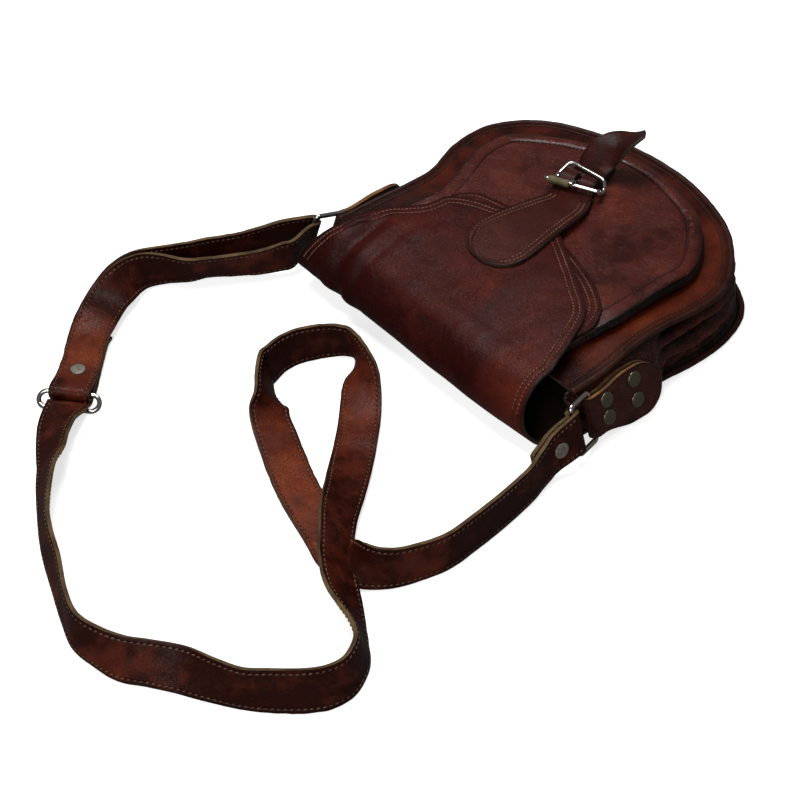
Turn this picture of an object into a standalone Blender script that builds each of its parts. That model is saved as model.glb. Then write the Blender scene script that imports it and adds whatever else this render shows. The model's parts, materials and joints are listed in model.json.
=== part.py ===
"""Leather crossbody bag, lying on its back with the front flap up.

Lengths are metres. +X runs across the bag, +Y from its top fold to its lower edge and
+Z out of its front. The origin lies under the flat back, ORIGIN_FROM_FOLD below the fold.
Most functions measure "down" from the fold, which row_y turns into Y.
"""
import math

import bmesh
import bpy
from mathutils import Vector

SHARP_ANGLE = math.radians(40)

# Driving sizes of the sewn body
BAG_LENGTH = 0.238
BAG_HALF_WIDTH = 0.119
ORIGIN_FROM_FOLD = 0.125
BACK_MARGIN = 0.0030
FRONT_TOP = 0.0300
GUSSET_TOP = 0.0270
TOP_DEPTH = 0.0380
LOWER_DEPTH = 0.0437
DEPTH_RISE_LENGTH = 0.070
LEATHER = 0.0022
GAP = 0.0003
SEAM_INSET = 0.0005
PIPING_RADIUS = 0.0019
PIPING_GAP = 0.0006
GUSSET_LEATHER = 0.0018
GUSSET_SWELL = 0.0125
FRONT_CROWN = 0.0010

# Front pocket
POCKET_LENGTH = 0.219
POCKET_HALF_WIDTH = 0.0975
POCKET_TOP = 0.0380
POCKET_MOUTH_DEPTH = 0.0055
POCKET_DEPTH = 0.0087
POCKET_LEATHER = 0.0020
POCKET_GUSSET_LEATHER = 0.0016
POCKET_GUSSET_BULGE = 0.0020
POCKET_CROWN = 0.0025
POCKET_CROWN_LENGTH = 0.181
POCKET_RISE_LENGTH = 0.055

# Flap
FOLD_HINGE_DOWN = 0.0170
FOLD_HINGE_HEIGHT = 0.0011
FLAP_HINGE_DOWN = 0.0240
FLAP_HINGE_HEIGHT = 0.0495
FLAP_RISE = 0.0109
FLAP_RISE_LENGTH = 0.080
FLAP_LENGTH = 0.118
FLAP_HALF_WIDTH = 0.117
UNDERLAY_LEATHER = 0.0016
BILLET_LEATHER = 0.0024

# Ring tabs
TAB_LEATHER = 0.0024
TAB_HALF_SPACING = 0.00255
TAB_LENGTH = 0.0580
TAB_HALF_WIDTH = 0.0192
TAB_NECK_HALF_WIDTH = 0.0138
TAB_NECK_LENGTH = 0.0060
TAB_NECK_BLEND = 0.0240
TAB_LEAN = math.radians(20)
TAB_MIDDLE = 0.0025
TAB_STANDOFF = 0.0080
TAB_REACH = BAG_HALF_WIDTH + TAB_STANDOFF
TAB_ROD_DOWN = 0.0390
TAB_ROD_HEIGHT = 0.0212
TAB_WALL_START = 0.0340
TAB_WALL_END = 0.1000
TAB_WALL_BLEND = 0.0200

# Rivets
RIVET_RADIUS = 0.0052
RIVET_HEAD = 0.0016
RIVET_SHANK_RADIUS = 0.0014
RIVET_HOLE_RADIUS = 0.0018
RIVET_BURR_RADIUS = 0.0036
RIVET_BURR = 0.0010

# Rings and slider
WIRE_RADIUS = 0.00175
ROD_CLEARANCE = 0.0004
RING_LENGTH = 0.0210
RING_HALF_HEIGHT = 0.01675
RING_CORNER = 0.0032
RING_REST_SWING = math.radians(17)
SLIDER_MIDDLE = (-0.1066, -0.1961)
SLIDER_AXIS_TURN = math.radians(42)
SLIDER_HALF_LENGTH = 0.0200
SLIDER_WIRE_RADIUS = 0.0016
SLIDER_ROD_SPACING = 0.0108

# Strap
STRAP_WIDTH = 0.0270
ROUTE_REACH = 0.1270
STRAP_LEATHER = 0.0026
STRAP_RIVET_REACH = 0.0170
STRAP_FOLD_GAP = 0.0010
LAYER_STEP = STRAP_LEATHER + GAP
GROUND_LAYER = STRAP_LEATHER / 2 + GAP

# Buckle
BUCKLE_WIRE_RADIUS = 0.0015
NEAR_BAR_HEIGHT = 0.0680
FAR_BAR_HEIGHT = 0.0680
BUCKLE_BOW_REACH = 0.0030
BUCKLE_CORNER = 0.0034
ROLLER_LENGTH = 0.0155
ROLLER_RADIUS = 0.0026
ROLLER_START = 0.0034
PRONG_LEATHER_SLOT = 0.0040
PRONG_WIDTH = 0.0030
PRONG_THICKNESS = 0.0015
PRONG_LENGTH = 0.0130
CHAPE_WIDTH = 0.0200
CHAPE_LEATHER = 0.0015
CHAPE_LENGTH = 0.0340
BAR_CLEARANCE = 0.00035

# Shares of the length and of the half width: how far down, half width, middle
BODY_SHARES = (
    (0.02, 0.966, 0.025),
    (0.13, 0.962, 0.030),
    (0.25, 0.953, 0.038),
    (0.365, 0.924, 0.042),
    (0.47, 0.928, 0.030),
    (0.59, 0.987, -0.012),
    (0.695, 0.996, -0.038),
    (0.78, 0.940, -0.067),
    (0.865, 0.807, -0.090),
    (0.925, 0.640, -0.090),
    (0.975, 0.380, -0.080),
    (0.998, 0.130, -0.070),
)
POCKET_SHARES = (
    (0.150, 0.895, 0.040),
    (0.30, 0.900, 0.080),
    (0.40, 0.890, 0.120),
    (0.50, 0.925, 0.080),
    (0.62, 0.985, 0.015),
    (0.71, 1.000, 0.000),
    (0.79, 0.940, -0.030),
    (0.87, 0.770, -0.010),
    (0.935, 0.560, 0.010),
    (0.985, 0.260, -0.030),
    (0.999, 0.080, -0.050),
)
# Shares of the flap's half width and length, round its free edge from right to left
FLAP_EDGE_SHARES = (
    (0.991, 0.217),
    (0.950, 0.300),
    (0.897, 0.390),
    (0.842, 0.490),
    (0.812, 0.545),
    (0.765, 0.600),
    (0.684, 0.652),
    (0.581, 0.712),
    (0.453, 0.788),
    (0.256, 0.898),
    (0.120, 0.970),
    (0.010, 1.0),
    (-0.100, 0.955),
    (-0.230, 0.860),
    (-0.368, 0.814),
    (-0.465, 0.765),
    (-0.530, 0.705),
    (-0.547, 0.630),
    (-0.580, 0.560),
    (-0.692, 0.441),
    (-0.735, 0.350),
    (-0.760, 0.260),
    (-0.786, 0.217),
)
UNDERLAY_EDGE_SHARES = (
    (0.850, 0.485),
    (0.822, 0.560),
    (0.810, 0.620),
    (0.744, 0.720),
    (0.607, 0.805),
    (0.470, 0.856),
    (0.316, 0.898),
    (0.120, 0.925),
    (-0.080, 0.930),
    (-0.265, 0.918),
    (-0.444, 0.881),
    (-0.530, 0.790),
    (-0.545, 0.700),
    (-0.575, 0.600),
    (-0.660, 0.485),
)
# Gusset along the seam from right to left, shares of GUSSET_SWELL, negative where it tucks in
SWELL_SHARES = (0.25, 0.25, 0.0, -0.30, -0.48, -0.50, -0.40, -0.30, -0.30, -0.36, -0.44, -0.40, -0.15, 0.20, 0.25)
WALL_ROW_SHARES = (0.0, 0.06, 0.13, 0.20, 0.35, 0.50, 0.65, 0.78, 0.87, 0.94, 1.0)
PANEL_RING_SHARES = (1.0, 0.80, 0.50, 0.20)

# Fold of the flap over the top: down, height, left end, right end
FOLD_PROFILE = (
    (FOLD_HINGE_DOWN, FOLD_HINGE_HEIGHT, -0.1100, 0.1155),
    (0.0110, 0.0060, -0.1120, 0.1175),
    (0.0075, 0.0120, -0.1130, 0.1190),
    (0.0052, 0.0200, -0.1120, 0.1205),
    (0.0050, 0.0290, -0.1080, 0.1215),
    (0.0072, 0.0370, -0.1030, 0.1215),
    (0.0120, 0.0440, -0.0980, 0.1195),
    (0.0180, 0.0478, -0.0940, 0.1175),
    (FLAP_HINGE_DOWN, FLAP_HINGE_HEIGHT, -0.0912, 0.1158),
)
# Round end of a strip: shares of its half thickness beyond the end, and of the half thickness left
ROUND_END_SHARES = ((0.98, 0.20), (0.80, 0.60), (0.50, 0.866))

# Teardrop patch and tongue: middle, down, height, half width, turn of the width in degrees
BILLET_ROUTE = (
    (0.0000, 0.0565, 0.0600, 0.0050, 0),
    (0.0000, 0.0580, 0.0602, 0.0105, 0),
    (0.0000, 0.0610, 0.0606, 0.0165, 0),
    (0.0000, 0.0660, 0.0612, 0.0215, 0),
    (0.0000, 0.0740, 0.0623, 0.0247, 0),
    (0.0000, 0.0830, 0.0635, 0.0248, 0),
    (0.0000, 0.0950, 0.0642, 0.0232, 0),
    (0.0000, 0.1080, 0.0647, 0.0208, 0),
    (0.0000, 0.1205, 0.0655, 0.0187, 0),
    (-0.0005, 0.1290, 0.0650, 0.0174, 5),
    (-0.0022, 0.1365, 0.0644, 0.0163, 14),
    (-0.0052, 0.1430, 0.0638, 0.0153, 22),
    (-0.0084, 0.1483, 0.0635, 0.0146, 25),
    (-0.0107, 0.1519, 0.0639, 0.0142, 24),
    (-0.0119, 0.1541, 0.0647, 0.0139, 22),
    (-0.0129, 0.1566, 0.0661, 0.0136, 19),
    (-0.0137, 0.1590, 0.0675, 0.0133, 16),
    (-0.0143, 0.1612, 0.0681, 0.0130, 14),
    (-0.0148, 0.1634, 0.0680, 0.0127, 12),
    (-0.0153, 0.1657, 0.0673, 0.0124, 10),
    (-0.0158, 0.1681, 0.0662, 0.0121, 8),
    (-0.0163, 0.1709, 0.0649, 0.0119, 5),
    (-0.0169, 0.1750, 0.0657, 0.0119, -2),
    (-0.0172, 0.1795, 0.0690, 0.0120, -14),
    (-0.0158, 0.1850, 0.0745, 0.0120, -34),
    (-0.0125, 0.1905, 0.0810, 0.0120, -52),
    (-0.0075, 0.1955, 0.0870, 0.0115, -66),
    (-0.0035, 0.1980, 0.0900, 0.0100, -72),
    (-0.0010, 0.1994, 0.0918, 0.0070, -74),
)

# Buckle corners: near left, near right, far right, far left
BUCKLE_CORNERS = (
    (-0.0300, 0.1430),
    (0.0070, 0.1600),
    (-0.0012, 0.1722),
    (-0.0315, 0.1700),
)

# Prong from its curl to its tip: shares of its length, of its rise and of its width
PRONG_RISE_SHARES = ((0.42, 0.72, 1.0), (0.62, 0.93, 1.0), (0.80, 1.03, 1.0), (1.0, 0.98, 0.7))

# Rivets of a tab: how far down, how far along the rod
TAB_RIVETS = (
    (0.0500, 0.0070),
    (0.0745, 0.0098),
    (0.0495, -0.0052),
    (0.0745, -0.0048),
)

# Lie of the strap from the right ring: x, down, roll in degrees, lift off the ground
STRAP_ROUTE = (
    (0.1400, -0.0060, 99, 0.0050),
    (0.1425, -0.0160, 97, 0.0028),
    (0.1460, -0.0280, 95, 0.0012),
    (0.1500, -0.0520, 95, 0.0),
    (0.1530, -0.0750, 95, 0.0),
    (0.1550, -0.1000, 95, 0.0),
    (0.1510, -0.1190, 97, 0.0),
    (0.1450, -0.1340, 102, 0.0),
    (0.1350, -0.1440, 115, 0.0),
    (0.1230, -0.1475, 140, 0.0),
    (0.1080, -0.1465, 166, 0.0),
    (0.0900, -0.1410, 178, 0.0),
    (0.0600, -0.1310, 180, 0.0),
    (0.0298, -0.1230, 184, 0.0),
    (0.0034, -0.1134, 186, 0.0),
    (-0.0153, -0.1057, 192, 0.0),
    (-0.0198, -0.1000, 220, 0.0),
    (-0.0282, -0.0940, 246, 0.0),
    (-0.0391, -0.0875, 255, 0.0),
    (-0.0442, -0.0823, 257, 0.0),
    (-0.0478, -0.0702, 261, 0.0),
    (-0.0476, -0.0571, 264, 0.0),
    (-0.0427, -0.0441, 267, 0.0),
    (-0.0364, -0.0335, 272, 0.0),
    (-0.0283, -0.0272, 279, 0.0),
    (-0.0206, -0.0289, 273, 0.0),
    (-0.0109, -0.0343, 253, 0.0),
    (-0.0015, -0.0402, 222, 0.0),
    (0.0078, -0.0478, 200, 0.0),
    (0.0241, -0.0622, 184, 0.0),
    (0.0429, -0.0812, 181, 0.0004),
    (0.0560, -0.0960, 181, 0.0024),
    (0.0720, -0.1130, 184, 0.0044),
    (0.0890, -0.1310, 195, 0.0062),
    (0.1030, -0.1445, 207, 0.0076),
    (0.1180, -0.1550, 214, 0.0066),
    (0.1350, -0.1625, 200, 0.0040),
    (0.1540, -0.1735, 150, 0.0020),
    (0.1740, -0.1830, 113, 0.0005),
    (0.1870, -0.1955, 111, 0.0),
    (0.1920, -0.2070, 117, 0.0),
    (0.1900, -0.2190, 125, 0.0),
    (0.1820, -0.2300, 128, 0.0),
    (0.1710, -0.2420, 126, 0.0),
    (0.1580, -0.2530, 126, 0.0),
    (0.1430, -0.2630, 128, 0.0),
    (0.1280, -0.2720, 130, 0.0),
    (0.1130, -0.2820, 130, 0.0),
    (0.1000, -0.2905, 125, 0.0),
    (0.0840, -0.2960, 112, 0.0),
    (0.0635, -0.2980, 98, 0.0),
    (0.0430, -0.2940, 92, 0.0),
    (0.0220, -0.2865, 92, 0.0),
    (0.0020, -0.2785, 92, 0.0),
    (-0.0170, -0.2690, 98, 0.0),
    (-0.0492, -0.2469, 116, 0.0),
    (-0.0626, -0.2360, 132, 0.0),
    (-0.0764, -0.2265, 142, 0.0),
    (-0.0907, -0.2145, 158, 0.0022),
    (-0.1030, -0.2001, 180, 0.0036),
    (-0.1066, -0.1961, 180, 0.0009),
    (-0.1105, -0.1918, 180, 0.0),
    (-0.1190, -0.1825, 180, 0.0),
    (-0.1320, -0.1710, 180, 0.0),
    (-0.1510, -0.1550, 180, 0.0),
    (-0.1690, -0.1370, 182, 0.0),
    (-0.1820, -0.1170, 192, 0.0),
    (-0.1843, -0.1005, 226, 0.0),
    (-0.1808, -0.0832, 260, 0.0),
    (-0.1727, -0.0633, 268, 0.0),
    (-0.1650, -0.0440, 268, 0.0),
    (-0.1570, -0.0250, 270, 0.0),
    (-0.1485, -0.0050, 280, 0.0045),
)
# Return run from the left ring to the slider, on top of the strap
RETURN_ROUTE = (
    (-0.1261, -0.0054, 82, 0.0030),
    (-0.1336, -0.0208, 74, 0.0010),
    (-0.1439, -0.0363, 69, 0.0),
    (-0.1532, -0.0508, 66, 0.0),
    (-0.1597, -0.0651, 71, 0.0),
    (-0.1696, -0.0758, 82, 0.0),
    (-0.1752, -0.0873, 95, 0.0014),
    (-0.1752, -0.1006, 116, 0.0040),
    (-0.1727, -0.1125, 136, 0.0050),
    (-0.1695, -0.1243, 158, 0.0055),
    (-0.1591, -0.1395, 164, 0.0060),
    (-0.1488, -0.1540, 180, 0.0062),
    (-0.1302, -0.1713, 180, 0.0062),
    (-0.1215, -0.1806, 180, 0.0062),
)

# Colours, roughness and metal share of each material
MATERIAL_SHARES = {
    "leather_red": (0.055, 0.019, 0.014, 0.42, 0.0),
    "leather_dark": (0.022, 0.009, 0.006, 0.48, 0.0),
    "leather_strap": (0.062, 0.022, 0.014, 0.45, 0.0),
    "leather_tab": (0.035, 0.015, 0.009, 0.60, 0.0),
    "nickel_wire": (0.62, 0.60, 0.55, 0.28, 1.0),
    "aged_brass": (0.20, 0.18, 0.13, 0.45, 1.0),
}


def row_y(down):
    """Y of a distance down from the fold."""
    return down - ORIGIN_FROM_FOLD


def point(x, down, height):
    return Vector((x, row_y(down), height))


def ease(share):
    share = min(max(share, 0.0), 1.0)
    return share * share * (3 - 2 * share)


def smooth_points(keys, steps):
    """Catmull-Rom curve through tuples of equal length, open at both ends."""
    first = [2 * a - b for a, b in zip(keys[0], keys[1])]
    last = [2 * a - b for a, b in zip(keys[-1], keys[-2])]
    padded = [first] + [list(key) for key in keys] + [last]
    result = []
    for start in range(len(keys) - 1):
        quads = list(zip(*padded[start:start + 4]))
        for step in range(steps):
            t = step / steps
            result.append([catmull(quad, t) for quad in quads])
    result.append(list(keys[-1]))
    return result


def catmull(quad, t):
    a, b, c, d = quad
    cubic = 3 * b - a - 3 * c + d
    square = 2 * a - 5 * b + 4 * c - d
    return (2 * b + (c - a) * t + square * t * t + cubic * t ** 3) / 2


def distance(a, b):
    return math.dist(a[:2], b[:2])


def resample(points, count):
    """The same open curve as count points at equal spacing in plan."""
    travelled = [0.0]
    for a, b in zip(points, points[1:]):
        travelled.append(travelled[-1] + distance(a, b))
    result = []
    index = 0
    for step in range(count):
        target = travelled[-1] * step / (count - 1)
        while index < len(points) - 2 and travelled[index + 1] < target:
            index += 1
        span = travelled[index + 1] - travelled[index]
        share = (target - travelled[index]) / span
        a, b = points[index], points[index + 1]
        result.append([p + (q - p) * share for p, q in zip(a, b)])
    return result


def plan_normals(points):
    """Unit normals in plan, to the left of travel."""
    result = []
    last = len(points) - 1
    for index in range(len(points)):
        a, b = points[max(index - 1, 0)], points[min(index + 1, last)]
        x, y = b[0] - a[0], b[1] - a[1]
        length = math.hypot(x, y)
        result.append((-y / length, x / length))
    return result


def seam_line(shares, length, half_width, top, count, outward=0.0):
    """Seam from the top right down round the bottom and up to the top left."""
    right = [((half + middle) * half_width, share * length) for share, half, middle in shares]
    left = [((middle - half) * half_width, share * length) for share, half, middle in shares]
    curve = smooth_points(right + left[::-1], 8)
    normals = plan_normals(curve)
    curve = [(p[0] - n[0] * outward, p[1] - n[1] * outward) for p, n in zip(curve, normals)]
    inside = [index for index, p in enumerate(curve) if p[1] >= top]
    start = cut_at(curve[inside[0] - 1], curve[inside[0]], top)
    end = cut_at(curve[inside[-1]], curve[inside[-1] + 1], top)
    return resample([start] + [curve[index] for index in inside] + [end], count)


def cut_at(a, b, top):
    share = (top - a[1]) / (b[1] - a[1])
    return (a[0] + (b[0] - a[0]) * share, top)


def closed_outline(seam, across):
    """A seam line with its straight top edge closed by points between its ends."""
    start, end = seam[-1], seam[0]
    top = []
    for step in range(1, across):
        share = step / across
        top.append([start[0] + (end[0] - start[0]) * share, start[1] + (end[1] - start[1]) * share])
    return seam + top


def crown(x, down):
    """Rise of the pocket's middle, that the layers over it share."""
    side = min(abs(x) / POCKET_HALF_WIDTH, 1.0)
    along = min(max((down - POCKET_TOP) / POCKET_CROWN_LENGTH, 0.0), 1.0)
    return POCKET_CROWN * (1 - side * side) ** 2 * math.sin(math.pi * along)


def front_under(x, down):
    rise = ease((down - FRONT_TOP) / DEPTH_RISE_LENGTH)
    side = min(abs(x) / BAG_HALF_WIDTH, 1.0)
    swell = FRONT_CROWN * (1 - side * side) * rise
    return TOP_DEPTH + (LOWER_DEPTH - TOP_DEPTH) * rise + swell


def front_over(x, down):
    return front_under(x, down) + LEATHER


def pocket_under(x, down):
    rise = ease((down - POCKET_TOP) / POCKET_RISE_LENGTH)
    depth = POCKET_MOUTH_DEPTH + (POCKET_DEPTH - POCKET_MOUTH_DEPTH) * rise
    return front_over(BAG_HALF_WIDTH, down) + GAP + depth + crown(x, down)


def pocket_over(x, down):
    return pocket_under(x, down) + POCKET_LEATHER


def flap_under(x, down):
    share = min(max((down - FLAP_HINGE_DOWN) / FLAP_RISE_LENGTH, 0.0), 1.0)
    middle = FLAP_HINGE_HEIGHT + FLAP_RISE * math.sin(math.pi * share / 2)
    return middle - LEATHER / 2 + crown(x, down)


def underlay_under(x, down):
    return flap_under(x, down) - GAP - UNDERLAY_LEATHER


def make_material(name):
    red, green, blue, roughness, metallic = MATERIAL_SHARES[name]
    material = bpy.data.materials.new(name)
    material.use_nodes = True
    shader = material.node_tree.nodes["Principled BSDF"]
    shader.inputs["Base Color"].default_value = (red, green, blue, 1.0)
    shader.inputs["Roughness"].default_value = roughness
    shader.inputs["Metallic"].default_value = metallic
    material.diffuse_color = (red, green, blue, 1.0)
    return material


def add_mesh(name, verts, faces, material, smooth=True):
    mesh = bpy.data.meshes.new(name)
    mesh.from_pydata([tuple(vert) for vert in verts], [], faces)
    work = bmesh.new()
    work.from_mesh(mesh)
    bmesh.ops.recalc_face_normals(work, faces=work.faces)
    work.to_mesh(mesh)
    work.free()
    mesh.materials.append(material)
    if smooth:
        mesh.shade_smooth()
        mesh.set_sharp_from_angle(angle=SHARP_ANGLE)
    made = bpy.data.objects.new(name, mesh)
    bpy.context.scene.collection.objects.link(made)
    return made


def loft(name, sections, material):
    """Closed solid through equal closed sections, capped at both ends."""
    size = len(sections[0])
    verts = [vert for section in sections for vert in section]
    faces = []
    for row in range(len(sections) - 1):
        low, high = row * size, (row + 1) * size
        for index in range(size):
            after = (index + 1) % size
            faces.append((low + index, low + after, high + after, high + index))
    end = len(verts) - size
    faces.append(tuple(range(size))[::-1])
    faces.append(tuple(range(end, len(verts))))
    return add_mesh(name, verts, faces, material)


def panel(name, outline, middle, under, thickness, material):
    """Leather panel over a height function, as rings of its outline round a middle."""
    size = len(outline)
    verts, faces = [], []
    for offset in (0.0, thickness):
        base = len(verts)
        for ring in PANEL_RING_SHARES:
            for x, down in outline:
                px = middle[0] + (x - middle[0]) * ring
                pd = middle[1] + (down - middle[1]) * ring
                verts.append(point(px, pd, under(px, pd) + offset))
        verts.append(point(middle[0], middle[1], under(*middle) + offset))
        last_ring = base + (len(PANEL_RING_SHARES) - 1) * size
        for index in range(size):
            after = (index + 1) % size
            for row in range(len(PANEL_RING_SHARES) - 1):
                low = base + row * size
                high = low + size
                faces.append((low + index, low + after, high + after, high + index))
            faces.append((last_ring + index, last_ring + after, len(verts) - 1))
    top = len(verts) // 2
    for index in range(size):
        after = (index + 1) % size
        faces.append((index, after, top + after, top + index))
    return add_mesh(name, verts, faces, material)


def tube(name, points, radius, material, closed=False, resolution=1):
    """Round wire along points, with filled ends or closed on itself."""
    curve = bpy.data.curves.new(name, "CURVE")
    curve.dimensions = "3D"
    curve.bevel_depth = radius
    curve.bevel_resolution = resolution
    curve.use_fill_caps = not closed
    spline = curve.splines.new("POLY")
    spline.points.add(len(points) - 1)
    for slot, place in zip(spline.points, points):
        slot.co = (*place, 1.0)
    spline.use_cyclic_u = closed
    curve.materials.append(material)
    made = bpy.data.objects.new(name, curve)
    bpy.context.scene.collection.objects.link(made)
    return made


def revolve(name, profile, place, axis, material, count=14):
    """Solid of revolution of (radius, height) pairs, placed with its height on an axis."""
    turn = Vector((0, 0, 1)).rotation_difference(axis).to_matrix()
    sections = []
    for radius, height in profile:
        ring = []
        for step in range(count):
            angle = math.tau * step / count
            spot = Vector((radius * math.cos(angle), radius * math.sin(angle), height))
            ring.append(place + turn @ spot)
        sections.append(ring)
    return loft(name, sections, material)


def cut(target, cutters):
    """Take cutters out of a solid, and remove them."""
    for index, cutter in enumerate(cutters):
        modifier = target.modifiers.new(f"cut_{index}", "BOOLEAN")
        modifier.operation = "DIFFERENCE"
        modifier.solver = "EXACT"
        modifier.object = cutter
        cutter.hide_render = True
        cutter.display_type = "WIRE"
    depsgraph = bpy.context.evaluated_depsgraph_get()
    depsgraph.update()
    mesh = bpy.data.meshes.new_from_object(target.evaluated_get(depsgraph))
    target.modifiers.clear()
    target.data = mesh
    for cutter in cutters:
        bpy.data.objects.remove(cutter)


def drill(target, places, axis, reach, material):
    """Round holes for rivets through a solid."""
    profile = ((RIVET_HOLE_RADIUS, -reach), (RIVET_HOLE_RADIUS, reach))
    holes = [revolve(f"hole_{i}", profile, place, axis, material) for i, place in enumerate(places)]
    cut(target, holes)


def strip_sections(line, half_thickness):
    """Rectangles across stations of (place, width vector, half width)."""
    sections = []
    last = len(line) - 1
    ways = [(b[0] - a[0]).normalized() for a, b in zip(line, line[1:])]
    for index, (place, width, half) in enumerate(line):
        travel = (ways[min(index, last - 1)] + ways[max(index - 1, 0)]).normalized()
        across = width - travel * width.dot(travel)
        across.normalize()
        normal = travel.cross(across)
        side, lift = across * half, normal * half_thickness
        sections.append([place - side - lift, place + side - lift, place + side + lift, place - side + lift])
    return sections


def strip(name, line, thickness, material):
    return loft(name, strip_sections(line, thickness / 2), material)


def rivet(name, place, axis, grip, material):
    """Domed rivet: head over place, shank through grip, burr behind it."""
    back = -grip - GAP
    profile = (
        (RIVET_BURR_RADIUS * 0.8, back - RIVET_BURR),
        (RIVET_BURR_RADIUS, back - RIVET_BURR / 2),
        (RIVET_BURR_RADIUS, back),
        (RIVET_SHANK_RADIUS, back),
        (RIVET_SHANK_RADIUS, GAP),
        (RIVET_RADIUS, GAP),
        (RIVET_RADIUS * 0.96, GAP + RIVET_HEAD * 0.45),
        (RIVET_RADIUS * 0.72, GAP + RIVET_HEAD * 0.8),
        (RIVET_RADIUS * 0.3, GAP + RIVET_HEAD),
    )
    return revolve(name, profile, place, axis, material)


def rounded_loop(corners, radii, steps):
    """Closed loop of 3-D corners with a round bend of each one's setback."""
    result = []
    count = len(corners)
    for index, (corner, radius) in enumerate(zip(corners, radii)):
        before = (corners[index - 1] - corner).normalized() * radius
        after = (corners[(index + 1) % count] - corner).normalized() * radius
        for step in range(steps + 1):
            t = step / steps
            result.append(corner + before * (1 - t) ** 2 + after * t ** 2)
    return result


def build_body(materials):
    """Back panel, front panel, gusset and the piping of both seams."""
    red, dark = materials["leather_red"], materials["leather_dark"]
    start = FOLD_HINGE_DOWN + GAP + LEATHER / 2
    back = seam_line(BODY_SHARES, BAG_LENGTH, BAG_HALF_WIDTH, start, 56, BACK_MARGIN)
    front = seam_line(BODY_SHARES, BAG_LENGTH, BAG_HALF_WIDTH, FRONT_TOP, 56)
    middle = (0.0, BAG_LENGTH / 2)
    panel("back_panel", closed_outline(back, 10), middle, lambda x, down: 0.0, LEATHER, dark)
    panel("front_panel", closed_outline(front, 10), middle, front_under, LEATHER, red)
    reach = PIPING_RADIUS + PIPING_GAP
    low = seam_line(BODY_SHARES, BAG_LENGTH, BAG_HALF_WIDTH, GUSSET_TOP, 64, BACK_MARGIN + reach)
    tube("back_piping", [point(x, down, PIPING_RADIUS) for x, down in low], PIPING_RADIUS, dark)
    high = seam_line(BODY_SHARES, BAG_LENGTH, BAG_HALF_WIDTH, FRONT_TOP, 64, reach)
    lift = LEATHER / 2
    places = [point(x, down, front_under(x, down) + lift) for x, down in high]
    tube("front_piping", places, PIPING_RADIUS, dark)
    return build_gusset(dark)


def tab_frame(side):
    """Middle of a tab's rod, its outward normal and its width direction."""
    normal = Vector((side * math.cos(TAB_LEAN), 0, math.sin(TAB_LEAN)))
    width = Vector((-side * math.sin(TAB_LEAN), 0, math.cos(TAB_LEAN)))
    rod = point(TAB_MIDDLE + side * TAB_REACH, TAB_ROD_DOWN, TAB_ROD_HEIGHT)
    return rod, normal, width


def tab_wall_x(side, height):
    """X of the gusset's outer face behind a tab at a height."""
    rod, normal, width = tab_frame(side)
    back = TAB_HALF_SPACING + TAB_LEATHER / 2 + GAP
    level = rod.dot(normal) - back
    return side * (level - height * math.sin(TAB_LEAN)) / math.cos(TAB_LEAN)


def build_gusset(material):
    """Side wall that tucks in between its seams and lies flat behind the tabs."""
    count = 64
    low = seam_line(BODY_SHARES, BAG_LENGTH, BAG_HALF_WIDTH, GUSSET_TOP, count, BACK_MARGIN)
    high = seam_line(BODY_SHARES, BAG_LENGTH, BAG_HALF_WIDTH, GUSSET_TOP, count)
    normals = plan_normals(high)
    swells = resample([(i, share) for i, share in enumerate(SWELL_SHARES)], count)
    sections = []
    for index in range(count):
        outward = Vector((-normals[index][0], -normals[index][1], 0))
        foot, head = low[index], high[index]
        bottom = LEATHER + GAP
        top = front_under(head[0], head[1]) - GAP
        swell = GUSSET_SWELL * swells[index][1]
        outer = []
        for share in WALL_ROW_SHARES:
            x = foot[0] + (head[0] - foot[0]) * share
            down = foot[1] + (head[1] - foot[1]) * share
            height = bottom + (top - bottom) * share
            flat = tab_zone(down)
            out = swell * (1 - flat) * math.sin(math.pi * share) - SEAM_INSET
            spot = point(x, down, height) + outward * out
            spot.x += tab_wall_shift(spot, share) * flat
            outer.append(spot)
        sections.append(outer + inner_face(outer, outward, GUSSET_LEATHER)[::-1])
    return loft("gusset", sections, material)


def tab_zone(down):
    """Share of the gusset's flat zone behind a tab."""
    rise = ease((down - TAB_WALL_START) / (TAB_WALL_BLEND * 0.4))
    return rise * ease((TAB_WALL_END + TAB_WALL_BLEND - down) / TAB_WALL_BLEND)


def tab_wall_shift(spot, share):
    """How far the gusset leaves its own swell to lie flat behind a tab."""
    edge = min(ease(share / WALL_ROW_SHARES[3]), ease((1 - share) / WALL_ROW_SHARES[2]))
    side = 1 if spot.x > 0 else -1
    return (tab_wall_x(side, spot.z) - spot.x) * edge


def inner_face(outer, outward, thickness):
    """The other face of a wall section, at right angles to its outline."""
    result = []
    last = len(outer) - 1
    for index, spot in enumerate(outer):
        run = outer[min(index + 1, last)] - outer[max(index - 1, 0)]
        side = Vector((outward.x, outward.y, 0))
        flat, climb = run.dot(side), run.z
        normal = (side * climb - Vector((0, 0, flat))).normalized()
        if index in (0, last):
            normal = side
        result.append(spot - normal * thickness)
    return result


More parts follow.
